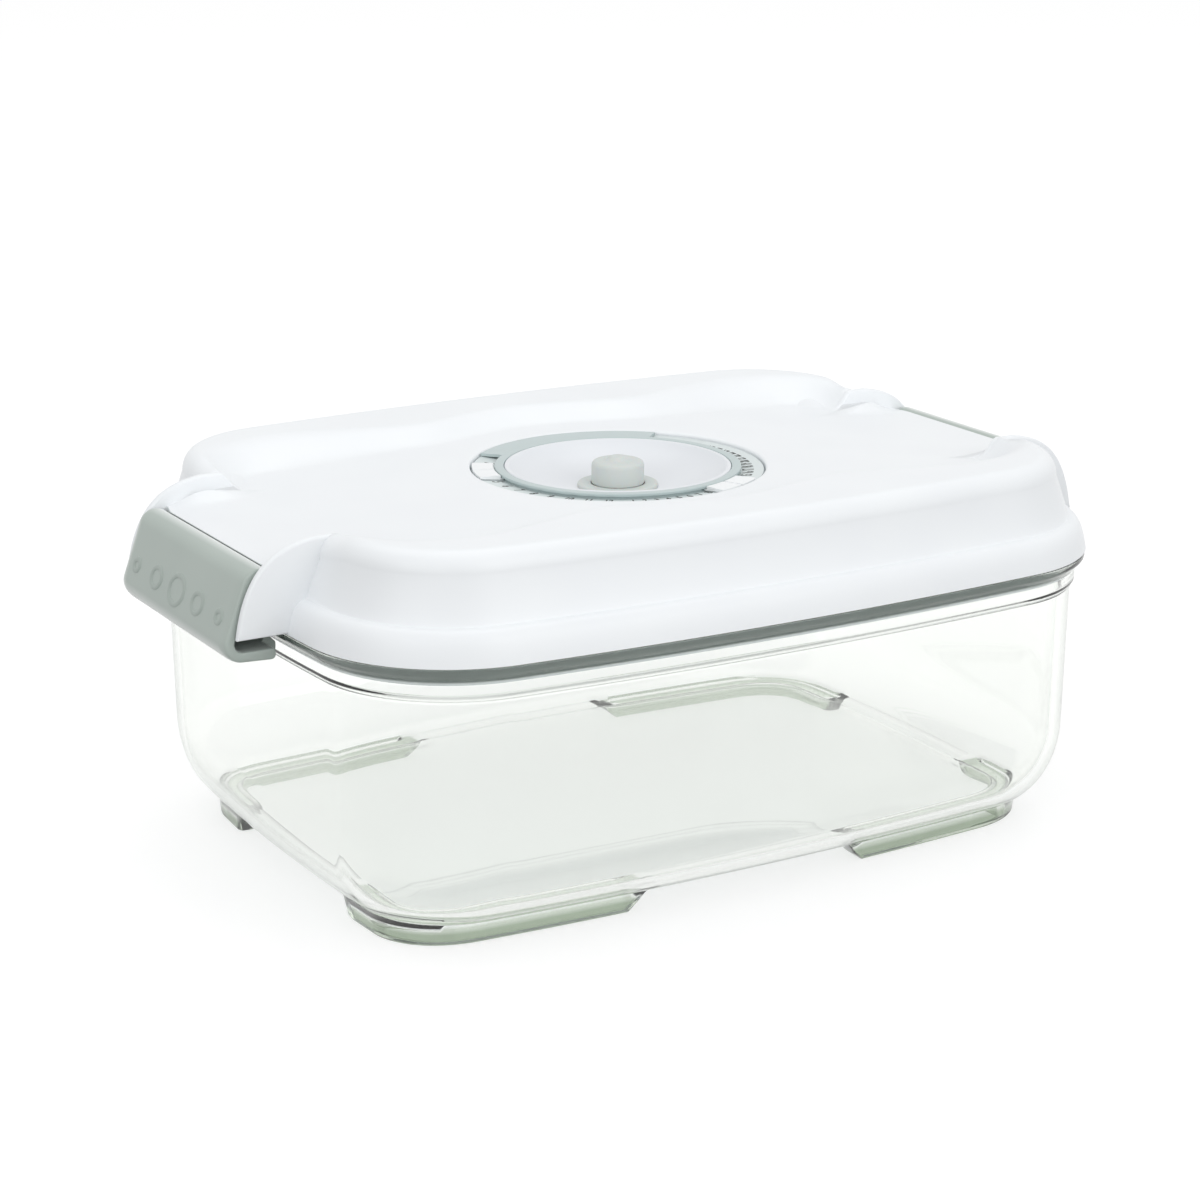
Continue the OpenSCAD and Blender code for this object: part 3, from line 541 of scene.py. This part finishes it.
# Pointers
# Two small white plastic sliders that run in the dial's groove, one for the month and one for the
# day. Each has a finger groove across it and a tongue under the dial frame's lip.
pointer_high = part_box("month_pointer")[1]
pointer_sweep, pointer_gap, pointer_groove = math.radians(24), 0.3 * MM, 0.8 * MM
body_inner, tongue_inner = lip_outer + pointer_gap, band_outer + pointer_gap
tongue_top, pointer_foot = lip_low - pointer_gap / 2, ring_flat + pointer_gap / 2
groove_floor = pointer_foot + print_rise + pointer_gap / 2
pointer_edge, pointer_bevel = 0.25 * MM, 0.12 * MM
strip_foot = groove_floor - pointer_gap / 3
pointer_steps, strip_steps = 24, 14
pointer_white = moulded_finish("white_pointer", (238, 241, 242), (246, 248, 249), 0.28, 0.34, 0.02)


def pointer(name, direction):
    """One slider, with its finger groove, facing a direction."""
    shape = bmesh.new()
    first = direction - pointer_sweep / 2
    body = [(tongue_inner, pointer_foot), (print_inner, pointer_foot),
            (ring_outer, pointer_foot + print_rise), (ring_outer, groove_floor), (body_inner, groove_floor),
            (body_inner, tongue_top), (tongue_inner, tongue_top)]
    turned(shape, body, first, pointer_sweep, pointer_steps)
    groove_angle = pointer_groove / ring_outer
    half_sweep = (pointer_sweep - groove_angle) / 2
    strip = filleted(
        [(body_inner, strip_foot), (ring_outer, strip_foot), (ring_outer, pointer_high.z),
         (body_inner, pointer_high.z)], [0, 0, pointer_edge, pointer_edge], 3)
    for start in (first, direction + groove_angle / 2):
        turned(shape, strip, start, half_sweep, strip_steps)
    piece = make_piece(name, shape, pointer_white)
    edges = piece.modifiers.new("soft_edges", "BEVEL")
    edges.width, edges.segments, edges.angle_limit = pointer_bevel, 2, math.radians(50)
    return piece


month_slider = pointer("month_slider", math.radians(160))
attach(month_slider, "month_pointer")
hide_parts("month_pointer")
day_slider = pointer("day_slider", math.radians(-65))
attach(day_slider, "day_pointer")
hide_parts("day_pointer")


# Lid cover
# Glossy white outer moulding of the lid: skirt, ledge, steep wall and rounded edge, a sunken deck
# between two side pads, and at each end two rounded cheeks that carry a latch. Welded to the liner.
cover_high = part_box("lid_cover")[1]
pad_z = cover_high.z
skirt_height, ledge_depth, wall_lean = 7.8 * MM, 4.6 * MM, 3.4 * MM
edge_height, edge_width = 5.2 * MM, 4.4 * MM
deck_fall, deck_flat, slope_width = 4.1 * MM, 2.0 * MM, 9.6 * MM
scoop_radius, scoop_side, scoop_wide = 27.0 * MM, 7.0 * MM, 24.0 * MM
scoop_end, scoop_top = 18.0 * MM, 26.5 * MM
seat_half, cheek_thickness = 33.4 * MM, 2.0 * MM
cheek_inner = seat_half - cheek_thickness
pin_x, pin_drop = half_length + 4.5 * MM, 4.2 * MM
pin_z = deck_z - deck_fall - pin_drop
knuckle_radius, hollow_radius = 4.48 * MM, 4.65 * MM
deck_short = math.sqrt(hollow_radius**2 - pin_drop**2)
cheek_sink, cheek_ramp, cheek_foot, cheek_end = 0.3 * MM, 7.0 * MM, 0.72, half_length
cheek_foot_fade, scoop_core = 12.0 * MM, 1.0 * MM
ledge_z = rim_z + skirt_height
edge_inset = ledge_depth + wall_lean + edge_width
flat_radius = dial_radius + deck_flat
scoop_x = half_length - edge_inset + deck_flat - scoop_radius
flare_x = 0.7 * dial_radius
bay_depth, bay_half = 7.5 * MM, 38.0 * MM
cheek_back = half_length - edge_inset - cheek_thickness


def deck_floor(x):
    """Height of the low deck, which falls towards the latches."""
    return deck_z - deck_fall * np.clip((np.abs(x) - flat_radius) / (pin_x - flat_radius), 0, 1)


def deck_height(x, y):
    """Height of the cover's top: low deck round the dial, side pads, scoops beside the latches."""
    ax, ay = np.abs(x), np.abs(y)
    flare = ease((ax - flare_x) / (scoop_x - flare_x))
    bay = flat_radius + bay_depth * ease(1 - ax / bay_half)
    low = mix(bay, seat_half + scoop_side, flare)
    high = mix(bay + slope_width, seat_half + scoop_wide, flare)
    beside = ease((ay - low) / (high - low))
    out_x, out_y = ax - scoop_x, np.maximum(ay - seat_half, 0)
    out = np.maximum(np.hypot(out_x, out_y), scoop_core)
    to_latch = (out_x / out) ** 2
    scoop_low, scoop_high = mix(scoop_side, scoop_end, to_latch), mix(scoop_wide, scoop_top, to_latch)
    scooped = ease((out - scoop_low) / (scoop_high - scoop_low))
    by_cheek = np.clip(1 - (cheek_inner - ay) / cheek_ramp, 0, 1) ** 2
    foot = cheek_foot * by_cheek * ease((cheek_end - ax) / cheek_foot_fade)
    inside = mix(foot, 1, ease((ay - cheek_inner) / cheek_thickness))
    return mix(deck_floor(x), pad_z, np.where(ax <= scoop_x, beside, scooped * inside))


cheek_angle = math.asin((cheek_inner + cheek_sink) / short_radius)
seat_angle = math.asin((seat_half - cheek_sink) / short_radius)
cheek_distances = np.array([0.05, 0.3, 0.6, 1, 1.5, 2, 2.6, 3.3, 4.1, 5, 6, 7]) * MM
near_cheek = [math.asin((cheek_inner - d) / short_radius) for d in cheek_distances]
cover_columns = rim_columns(40, 44, 60, [cheek_angle, seat_angle] + near_cheek)
cover_at = cover_columns[0]
in_seat = (np.abs(cover_at[:, 0]) > scoop_x) & (np.abs(cover_at[:, 1]) < seat_half - cheek_thickness / 2)
edge_at = inset_ring(cover_columns, edge_inset, 0)
edge_top = deck_height(edge_at[:, 0], edge_at[:, 1])


def cover_point(inset, height):
    """A place on the cover's section."""
    count = len(cover_at)
    return np.stack([np.broadcast_to(inset, count), np.broadcast_to(height, count)], -1)


def round_pin(radius, angle):
    """A place round the hinge pin, as inset and height at each column."""
    inset = np.abs(cover_at[:, 0]) - pin_x - radius * np.cos(angle)
    return cover_point(inset, pin_z + radius * np.sin(angle))


skirt_out, skirt_up, ledge_out, ledge_up = 0.6 * MM, 3.2 * MM, 1.5 * MM, 0.1 * MM
ledge_bend, skirt_steps, round_steps = 1.0 * MM, 14, 14
skirt_curve = bezier([(0, rim_z), (skirt_out, rim_z + skirt_up), (ledge_out, ledge_z + ledge_up),
                      (ledge_depth, ledge_z)], skirt_steps)
wall_top = ledge_depth + wall_lean
plain_wall = filleted(
    [cover_point(*skirt_curve[-2]), cover_point(ledge_depth, ledge_z),
     cover_point(wall_top, edge_top - edge_height)], [0, ledge_bend, 0], 5)
plain_outside = [cover_point(*p) for p in skirt_curve[:-2]] + plain_wall[:-1] + [
    cover_point(edge_inset - edge_width * math.cos(a), edge_top - edge_height * (1 - math.sin(a)))
    for a in np.linspace(0, math.pi / 2, round_steps)]
hollow_start, hollow_stop, corner_stop = np.radians((225, 120, 138))
corner_fade, end_run, end_edge, end_steps = 6.0 * MM, 2.0 * MM, 0.2 * MM, 4
deck_corner = ease((np.abs(cover_at[:, 1]) - cheek_inner) / corner_fade + 1)
hollow_end = mix(hollow_stop, corner_stop, deck_corner)
end_short = np.maximum(deck_short, -hollow_radius * np.cos(hollow_end))
deck_end = np.abs(cover_at[:, 0]) - pin_x + end_short
end_height = deck_height(pin_x - end_short, cover_at[:, 1])
seat_foot = ((0, 0), (0.02, 0.15), (0.05, 0.3), (0.15, 0.6))
hollow_steps = len(plain_outside) - len(seat_foot) - end_steps - 2
seat_outside = [cover_point(skirt_height * s, rim_z + skirt_height * h) for s, h in seat_foot]
seat_outside += [round_pin(hollow_radius, a) for a in np.linspace(hollow_start, hollow_end, hollow_steps)]
past_end = end_short + end_run
seat_outside += filleted([seat_outside[-1], cover_point(deck_end, end_height),
                          cover_point(deck_end + end_run, deck_height(pin_x - past_end, cover_at[:, 1]))],
                         [0, end_edge, 0], end_steps)[1:]
outside = [np.where(in_seat[:, None], seat, plain) for seat, plain in zip(seat_outside, plain_outside)]
cover_rings = [inset_ring(cover_columns, *line.T) for line in outside]
deck_rim = cover_rings[-1][:, :2]
opening_rim = dial_radius * deck_rim / np.linalg.norm(deck_rim, axis=1, keepdims=True)
opening_edge, opening_steps, deck_steps = 0.7 * MM, 5, 44
for share in np.linspace(0, 1, deck_steps)[1:]:
    flat = mix(deck_rim, opening_rim * (1 + opening_edge / dial_radius), share)
    cover_rings.append(np.column_stack([flat, deck_height(*flat.T)]))
for a in np.linspace(0, math.pi / 2, opening_steps)[1:]:
    flat = opening_rim * (1 + opening_edge * (1 - math.sin(a)) / dial_radius)
    cover_rings.append(np.column_stack([flat, deck_height(*flat.T) - opening_edge * (1 - math.cos(a))]))
under_inset, under_skirt = edge_inset + cover_thickness, ledge_z - cover_thickness
under_at = inset_ring(cover_columns, under_inset, 0)[:, :2]
hollow_under = hollow_radius + cover_thickness
under_top = np.where(in_seat, deck_floor(pin_x - hollow_under), deck_height(*under_at.T)) - cover_thickness
hollow_back, under_shares = np.radians((170, 195, 215)), (1, 0.8, 0.6, 0.4, 0.2)
under_seat = round_pin(hollow_under, hollow_back[0])[:, 0]
under_flat = np.where(in_seat[:, None], inset_ring(cover_columns, under_seat, 0)[:, :2], under_at)
for share in under_shares:
    flat = mix(under_flat, opening_rim, share)
    cover_rings.append(np.column_stack([flat, deck_height(*flat.T) - cover_thickness]))
skirt_draft = 0.15 * MM
skirt_inner = cover_thickness + skirt_draft
plain_inside = [
    cover_point(under_inset, under_top),
    cover_point(edge_inset - 0.4 * edge_width, under_top - 0.2 * edge_height),
    cover_point(edge_inset - 0.6 * edge_width + cover_thickness / 2, under_top - 0.6 * edge_height),
    cover_point(ledge_depth + 0.2 * wall_lean + cover_thickness, ledge_z + 0.4 * wall_lean),
    cover_point(ledge_depth + cover_thickness, under_skirt)]
seat_inside = [cover_point(under_seat, under_top)] + [round_pin(hollow_under, a) for a in hollow_back]
seat_inside += [cover_point(skirt_inner + 2 * cheek_sink, under_skirt)]
inside = [np.where(in_seat[:, None], seat, plain) for seat, plain in zip(seat_inside, plain_inside)]
inside += [cover_point(skirt_inner + cheek_sink, under_skirt),
           cover_point(skirt_inner, rim_z + skirt_height / 2), cover_point(cover_thickness, rim_z)]
cover_rings += [inset_ring(cover_columns, *line.T) for line in inside]
cover_shape = bmesh.new()
skin(cover_shape, cover_rings, wrap=True)

cheek_low, cheek_tip_x = rim_z + rim_inset, cover_high.x
cheek_rise, cheek_ease, cheek_edge = 6.5 * MM, 1.2 * MM, 0.7 * MM
cheek_steps, fade_steps = 26, 12
cheek_top_x, cheek_top_z = cheek_back + 3 * cheek_thickness, deck_z - deck_fall + cheek_rise
cheek_curve = bezier(
    [(cheek_tip_x, cheek_low), (pin_x + 0.95 * knuckle_radius, pin_z + 1.1 * knuckle_radius),
     (pin_x - 0.6 * knuckle_radius, cheek_top_z - cheek_ease), (cheek_top_x, cheek_top_z)], cheek_steps)
cheek_fade = [(x, min(cheek_top_z, deck_height(x, seat_half)))
              for x in np.linspace(cheek_top_x - cheek_thickness / 2, scoop_x + scoop_end, fade_steps)]
cheek_line = cheek_curve + [
    np.array(p) for p in (*cheek_fade, (cheek_back - cheek_thickness, ledge_z + cover_thickness),
                          (half_length - ledge_depth, ledge_z - cover_thickness / 2),
                          (half_length - cover_thickness, cheek_low))]


def rounded_plate(shape, outline, side_x, low_y, high_y, edge, edge_steps=4):
    """Adds an upright plate, drawn from the side, with its two rims rounded over."""
    outline = np.array(outline)
    to_next, to_last = np.roll(outline, -1, 0) - outline, outline - np.roll(outline, 1, 0)
    heading = to_next / np.linalg.norm(to_next, axis=1, keepdims=True)
    heading += to_last / np.linalg.norm(to_last, axis=1, keepdims=True)
    heading /= np.linalg.norm(heading, axis=1, keepdims=True)
    inward = np.column_stack([-heading[:, 1], heading[:, 0]])
    turns = np.linspace(0, math.pi / 2, edge_steps + 1)
    stations = [(low_y + edge * (1 - math.cos(a)), edge * (1 - math.sin(a))) for a in turns]
    stations += [(high_y - (y - low_y), inset) for y, inset in stations[::-1]]
    loops = []
    for y, inset in stations:
        flat = outline + inset * inward
        loops.append(np.column_stack([side_x * flat[:, 0], np.full(len(flat), y), flat[:, 1]]))
    skin(shape, loops, capped=True)


for side_x in (-1, 1):
    for low_y in (cheek_inner, -seat_half):
        rounded_plate(cover_shape, cheek_line, side_x, low_y, low_y + cheek_thickness, cheek_edge)
cover_white = moulded_finish("white_gloss_cover", (237, 240, 243), (242, 245, 247), 0.3, 0.4, 0.012)
white_cover = make_piece("white_cover", cover_shape, cover_white, 50)
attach(white_cover, "lid")
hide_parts("lid_cover")


# Hinge pins
# Two plain steel pins, cut from drawn wire and pressed into blind holes in the cheeks. Each carries
# one latch and is hidden inside its rounded top.
pin_steel = moulded_finish("drawn_pin_steel", (150, 152, 154), (172, 174, 176), 0.24, 0.34, 0.04)
pin_steel.node_tree.nodes["Principled BSDF"].inputs["Metallic"].default_value = 1
for name in ("left_hinge_pin", "right_hinge_pin"):
    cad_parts[name].data.materials.clear()
    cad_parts[name].data.materials.append(pin_steel)


# Latches
# Two satin grey-green plastic clips. Each turns on its pin in the rounded top, hangs as a flat plate
# with five raised finger rings, and curls at the bottom into a lip with a hook under the bowl's rim.
latch_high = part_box("right_latch")[1]
latch_play = 0.15 * MM
latch_half = latch_high.y - latch_play
plate_tilt, plate_length, plate_depth = math.radians(20), 18.0 * MM, 2.6 * MM
bend_radius, lip_reach = 4.6 * MM, half_length + 1.0 * MM
hook_grip, hook_gap, hook_width, hook_half = 1.3 * MM, 0.5 * MM, 1.0 * MM, 25.0 * MM
hook_root, hook_sink, hook_edge, hook_toe = 1.2 * MM, 0.2 * MM, 0.3 * MM, 0.5 * MM
ring_radius, ring_pitch, ring_line, ring_rise = 4.0 * MM, 12.2 * MM, 1.3 * MM, 0.3 * MM
ring_stretch, ring_shrink, ring_places = 1.2, 0.25, range(-2, 3)
ring_steps, section_steps = 48, 12
pin_at = np.array([pin_x, pin_z])
plate_out = np.array([math.cos(plate_tilt), math.sin(plate_tilt)])
plate_down = np.array([plate_out[1], -plate_out[0]])
bend_top = pin_at + knuckle_radius * plate_out
lip_z = bend_top[1] + plate_length * plate_down[1] - plate_depth / 2
bend_drop = (bend_top[1] - bend_radius * plate_out[1] - lip_z - bend_radius) / plate_out[0]
bend_middle = bend_top - bend_radius * plate_out + bend_drop * plate_down
inner_face = knuckle_radius - plate_depth
knuckle_drop = math.sqrt(knuckle_radius**2 - inner_face**2)
knuckle_sweep = 2 * math.pi - math.atan2(knuckle_drop, inner_face)
knuckle_steps, bend_steps, lip_round = 40, 13, 1.2 * MM
knuckle = [pin_at + knuckle_radius * np.array([math.cos(plate_tilt + a), math.sin(plate_tilt + a)])
           for a in np.linspace(0, knuckle_sweep, knuckle_steps)]
bend_turns = [np.array([math.cos(a), math.sin(a)])
              for a in np.linspace(plate_tilt, -math.pi / 2, bend_steps)]
outer_bend = [bend_middle + bend_radius * turn for turn in bend_turns[::-1]]
inner_bend = [bend_middle + (bend_radius - plate_depth) * turn for turn in bend_turns]
lip_end = filleted(
    [inner_bend[-1], (lip_reach, lip_z + plate_depth), (lip_reach, lip_z), outer_bend[0]],
    [0, lip_round, lip_round, 0], 5)
latch_line = np.array(knuckle + inner_bend + lip_end[1:-1] + outer_bend)
face_sweep = math.radians(60)
face_share = np.concatenate([
    np.clip(1 - np.linspace(0, knuckle_sweep, len(knuckle)) / face_sweep, 0, 1),
    np.zeros(len(inner_bend) + len(lip_end) - 2), np.ones(len(outer_bend))])[:, None]
latch_edge, face_round, face_drop = 0.45 * MM, 3.6 * MM, 0.6 * MM
latch_stations = np.array([0, 0.05, 0.15, 0.3, 0.45, 0.7, 1.0, 1.4, 1.9, 2.5, 3.1, 3.6]) * MM


def latch_loop(side_x, from_end, y):
    """The latch's side view at a distance from its end, drawn in where edge and face round over."""
    heading = np.roll(latch_line, -1, 0) - np.roll(latch_line, 1, 0)
    heading /= np.linalg.norm(heading, axis=1, keepdims=True)
    inward = np.column_stack([-heading[:, 1], heading[:, 0]])
    draw_in = latch_edge - math.sqrt(latch_edge**2 - max(0, latch_edge - from_end) ** 2)
    past_flat = max(0, face_round - from_end) / face_round
    face_in = face_drop * (1 - math.sqrt(1 - past_flat**2))
    flat = latch_line + (draw_in + face_in * face_share) * inward
    return np.column_stack([side_x * flat[:, 0], np.full(len(flat), y), flat[:, 1]])


def hook_line():
    """Side view of the hook that reaches under the bevel of the bowl's rim."""
    rim_x = half_length - rim_inset
    tip, back = rim_x - hook_grip, rim_x + hook_gap
    drop = hook_gap * math.sqrt(2)
    root, top, foot = back + hook_width + hook_root, bevel_z + hook_gap - drop, lip_z + hook_sink
    return filleted(
        [(root, lip_z + plate_depth / 2), (back + hook_width, top), (back, top),
         (tip, bevel_z - hook_grip - drop), (tip, foot), (root, foot)],
        [0, hook_edge, hook_edge, hook_edge, hook_toe, 0], 3)


satin_bump, satin_grain = 0.05, 1800
latch_grey = moulded_finish(
    "satin_grey_green_latch", (168, 179, 173), (178, 188, 182), 0.36, 0.46, satin_bump, satin_grain)
# The finger rings take a slightly darker grey than the rest of the latch.
ring_grey = moulded_finish(
    "darker_grey_finger_rings", (160, 171, 165), (168, 178, 172), 0.4, 0.5, satin_bump, satin_grain)
# Painted sheen: where the latch is seen edge-on, the Layer Weight mask pales its grey towards near-white.
# This stands in for the white surround reflected at glancing angles.
painted_grazing_sheen, grazing_from, grazing_to = srgb(232, 236, 234), 0.64, 0.88
latch_nodes, latch_links = latch_grey.node_tree.nodes, latch_grey.node_tree.links
latch_base = latch_nodes["Principled BSDF"].inputs["Base Color"]
latch_slant = latch_nodes.new("ShaderNodeLayerWeight")
latch_share = latch_nodes.new("ShaderNodeMapRange")
latch_share.inputs["From Min"].default_value = grazing_from
latch_share.inputs["From Max"].default_value = grazing_to
latch_links.new(latch_slant.outputs["Facing"], latch_share.inputs["Value"])
latch_painted_sheen = latch_nodes.new("ShaderNodeMix")
latch_painted_sheen.data_type = "RGBA"
latch_painted_sheen.inputs["B"].default_value = painted_grazing_sheen
latch_links.new(latch_base.links[0].from_socket, latch_painted_sheen.inputs["A"])
latch_links.new(latch_share.outputs["Result"], latch_painted_sheen.inputs["Factor"])
latch_links.new(latch_painted_sheen.outputs["Result"], latch_base)


def latch(name, side_x):
    """One latch with its hook and raised finger rings."""
    shape = bmesh.new()
    loops = [latch_loop(side_x, e, e - latch_half) for e in latch_stations]
    loops += [latch_loop(side_x, e, latch_half - e) for e in latch_stations[::-1]]
    skin(shape, loops, capped=True)
    rounded_plate(shape, hook_line(), side_x, -hook_half, hook_half, hook_edge, 3)
    plate_faces = len(shape.faces)
    middle = bend_top + plate_length / 2 * plate_down
    around = np.linspace(0, 2 * math.pi, ring_steps, endpoint=False)
    section = np.linspace(0, 2 * math.pi, section_steps, endpoint=False)
    for place in ring_places:
        radius = ring_radius * (1 - ring_shrink * abs(place)) - ring_line / 2
        ring = []
        for a in around:
            wide = radius + ring_line / 2 * np.cos(section)
            rise = ring_rise * np.sin(section)
            down = wide * math.sin(a)
            ring.append(np.column_stack([
                side_x * (middle[0] + rise * plate_out[0] + down * plate_down[0]),
                place * ring_pitch + ring_stretch * wide * math.cos(a),
                middle[1] + rise * plate_out[1] + down * plate_down[1]]))
        skin(shape, ring, wrap=True)
    shape.faces.ensure_lookup_table()
    for face in shape.faces[plate_faces:]:
        face.material_index = 1
    piece = make_piece(name, shape, latch_grey, 45)
    piece.data.materials.append(ring_grey)
    return piece


left_clip = latch("left_clip", -1)
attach(left_clip, "left_latch")
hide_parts("left_latch")
right_clip = latch("right_clip", 1)
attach(right_clip, "right_latch")
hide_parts("right_latch")


# Air valve
# Soft off-white silicone: a flat seat let into the dish, and a round button with a small nipple whose
# stem runs down through the dish. A white snap ring under the dish holds the stem.
seat_low, seat_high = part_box("valve_seat")
button_low, button_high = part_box("valve_button")
seat_well, seat_base, seat_edge, well_edge = 6.62 * MM, 1.0 * MM, 0.6 * MM, 0.3 * MM
seat_floor = seat_low.z + seat_base
seat_shape = bmesh.new()
turned(seat_shape, filleted(
    [(stem_hole, seat_low.z), (valve_radius, seat_low.z), (valve_radius, seat_high.z),
     (seat_well, seat_high.z), (seat_well, seat_floor), (stem_hole, seat_floor)],
    [0, 0, seat_edge, well_edge, 0, 0], 5))
valve_silicone = moulded_finish(
    "soft_white_silicone", (200, 206, 203), (208, 214, 211), 0.48, 0.6, satin_bump, satin_grain)
valve_shader = valve_silicone.node_tree.nodes["Principled BSDF"]
valve_shader.inputs["Subsurface Weight"].default_value = 0.15
valve_shader.inputs["Subsurface Scale"].default_value = 1.5 * MM
soft_seat = make_piece("soft_seat", seat_shape, valve_silicone)
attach(soft_seat, "lid")
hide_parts("valve_seat")

button_radius, button_sink, axis_radius = button_high.x, 0.2 * MM, 0.01 * MM
stem_radius, stem_edge, catch_width, catch_gap = 2.0 * MM, 0.3 * MM, 0.69 * MM, 0.05 * MM
button_edge, button_shoulder = 0.4 * MM, 1.5 * MM
nipple_radius, nipple_top, nipple_height = 3.2 * MM, 1.9 * MM, 1.1 * MM
nipple_root, nipple_edge = 0.7 * MM, 1.0 * MM
button_foot, button_top = seat_high.z - button_sink, button_high.z - nipple_height
catch_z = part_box("valve_retainer")[0].z - catch_gap
button_shape = bmesh.new()
turned(button_shape, filleted(
    [(axis_radius, button_low.z), (stem_radius, button_low.z), (stem_radius + catch_width, catch_z),
     (stem_radius, catch_z), (stem_radius, button_foot), (button_radius, button_foot),
     (button_radius, button_top), (nipple_radius, button_top), (nipple_top, button_high.z),
     (axis_radius, button_high.z)],
    [0, stem_edge, 0, 0, stem_edge, button_edge, button_shoulder, nipple_root, nipple_edge, 0], 7))
soft_button = make_piece("soft_button", button_shape, valve_silicone)
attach(soft_button, "valve_button")
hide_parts("valve_button")
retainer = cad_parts["valve_retainer"]
retainer.data.materials.clear()
retainer.data.materials.append(pointer_white)


# Studio
# Plain pale floor under an even white surround, three wide soft lamps, and the camera at the
# photograph's angle.
floor_half = 6.0
floor_mesh = bpy.data.meshes.new("pale_floor")
floor_mesh.from_pydata(
    [(-floor_half, -floor_half, 0), (floor_half, -floor_half, 0), (floor_half, floor_half, 0),
     (-floor_half, floor_half, 0)], [], [(0, 1, 2, 3)])
pale_floor = bpy.data.objects.new("pale_floor", floor_mesh)
scene.collection.objects.link(pale_floor)


def seen_rays(tree):
    """A value of 1 for light that is seen: straight, in a reflection or through glass."""
    rays = tree.nodes.new("ShaderNodeLightPath")
    seen = rays.outputs["Is Camera Ray"]
    for name in ("Is Glossy Ray", "Is Transmission Ray"):
        add = tree.nodes.new("ShaderNodeMath")
        add.operation, add.use_clamp = "ADD", True
        tree.links.new(seen, add.inputs[0])
        tree.links.new(rays.outputs[name], add.inputs[1])
        seen = add.outputs["Value"]
    return seen


floor_white = bpy.data.materials.new("pale_floor")
floor_white.use_nodes = True
floor_tree = floor_white.node_tree
floor_shader = floor_tree.nodes["Principled BSDF"]
floor_shader.inputs["Base Color"].default_value = srgb(176, 176, 176)
floor_shader.inputs["Roughness"].default_value = 0.9
floor_shader.inputs["Specular IOR Level"].default_value = 0
floor_lift = floor_tree.nodes.new("ShaderNodeMath")
floor_lift.operation = "MULTIPLY"
floor_lift.inputs[1].default_value = 0.68
floor_tree.links.new(seen_rays(floor_tree), floor_lift.inputs[0])
floor_tree.links.new(floor_lift.outputs["Value"], floor_shader.inputs["Emission Strength"])
floor_mesh.materials.append(floor_white)

surround_level = 0.7
surround = bpy.data.worlds.new("white_surround")
scene.world = surround
surround.use_nodes = True
sky = surround.node_tree
glow = sky.nodes["Background"]
glow.inputs["Color"].default_value = (1, 1, 1, 1)
glow.inputs["Strength"].default_value = surround_level
backdrop = sky.nodes.new("ShaderNodeBackground")
backdrop.inputs["Color"].default_value = (1, 1, 1, 1)
sky_mix = sky.nodes.new("ShaderNodeMixShader")
sky.links.new(seen_rays(sky), sky_mix.inputs[0])
sky.links.new(glow.outputs["Background"], sky_mix.inputs[1])
sky.links.new(backdrop.outputs["Background"], sky_mix.inputs[2])
sky.links.new(sky_mix.outputs["Shader"], sky.nodes["World Output"].inputs["Surface"])

lamp_aim, lamp_width = Vector((0, 0, 0.05)), 1.4


def soft_lamp(name, at, watts):
    """A square soft box at a place, turned towards the part."""
    light = bpy.data.lights.new(name, "AREA")
    light.size, light.energy = lamp_width, watts
    lamp = bpy.data.objects.new(name, light)
    lamp.location = at
    lamp.rotation_euler = (lamp_aim - Vector(at)).to_track_quat("-Z", "Y").to_euler()
    scene.collection.objects.link(lamp)


soft_lamp("top_box", (0.1, 0.3, 1.5), 4)
soft_lamp("front_box", (0.5, -1.7, 0.8), 9.6)
soft_lamp("left_box", (-1.5, -0.8, 0.8), 6)

camera_aim = Vector((-3.8, 2.2, 55.1)) * MM
camera_distance = 706.8 * MM
camera_azimuth, camera_elevation = math.radians(-30.21), math.radians(16.46)
camera_data = bpy.data.cameras.new("photo_camera")
camera_data.lens, camera_data.sensor_width = 84.9, 36
camera = bpy.data.objects.new("photo_camera", camera_data)
camera.location = camera_aim + camera_distance * Vector((
    math.sin(camera_azimuth) * math.cos(camera_elevation),
    -math.cos(camera_azimuth) * math.cos(camera_elevation), math.sin(camera_elevation)))
camera.rotation_euler = (camera_aim - camera.location).to_track_quat("-Z", "Y").to_euler()
scene.collection.objects.link(camera)
scene.camera = camera
scene.view_settings.view_transform = "Standard"
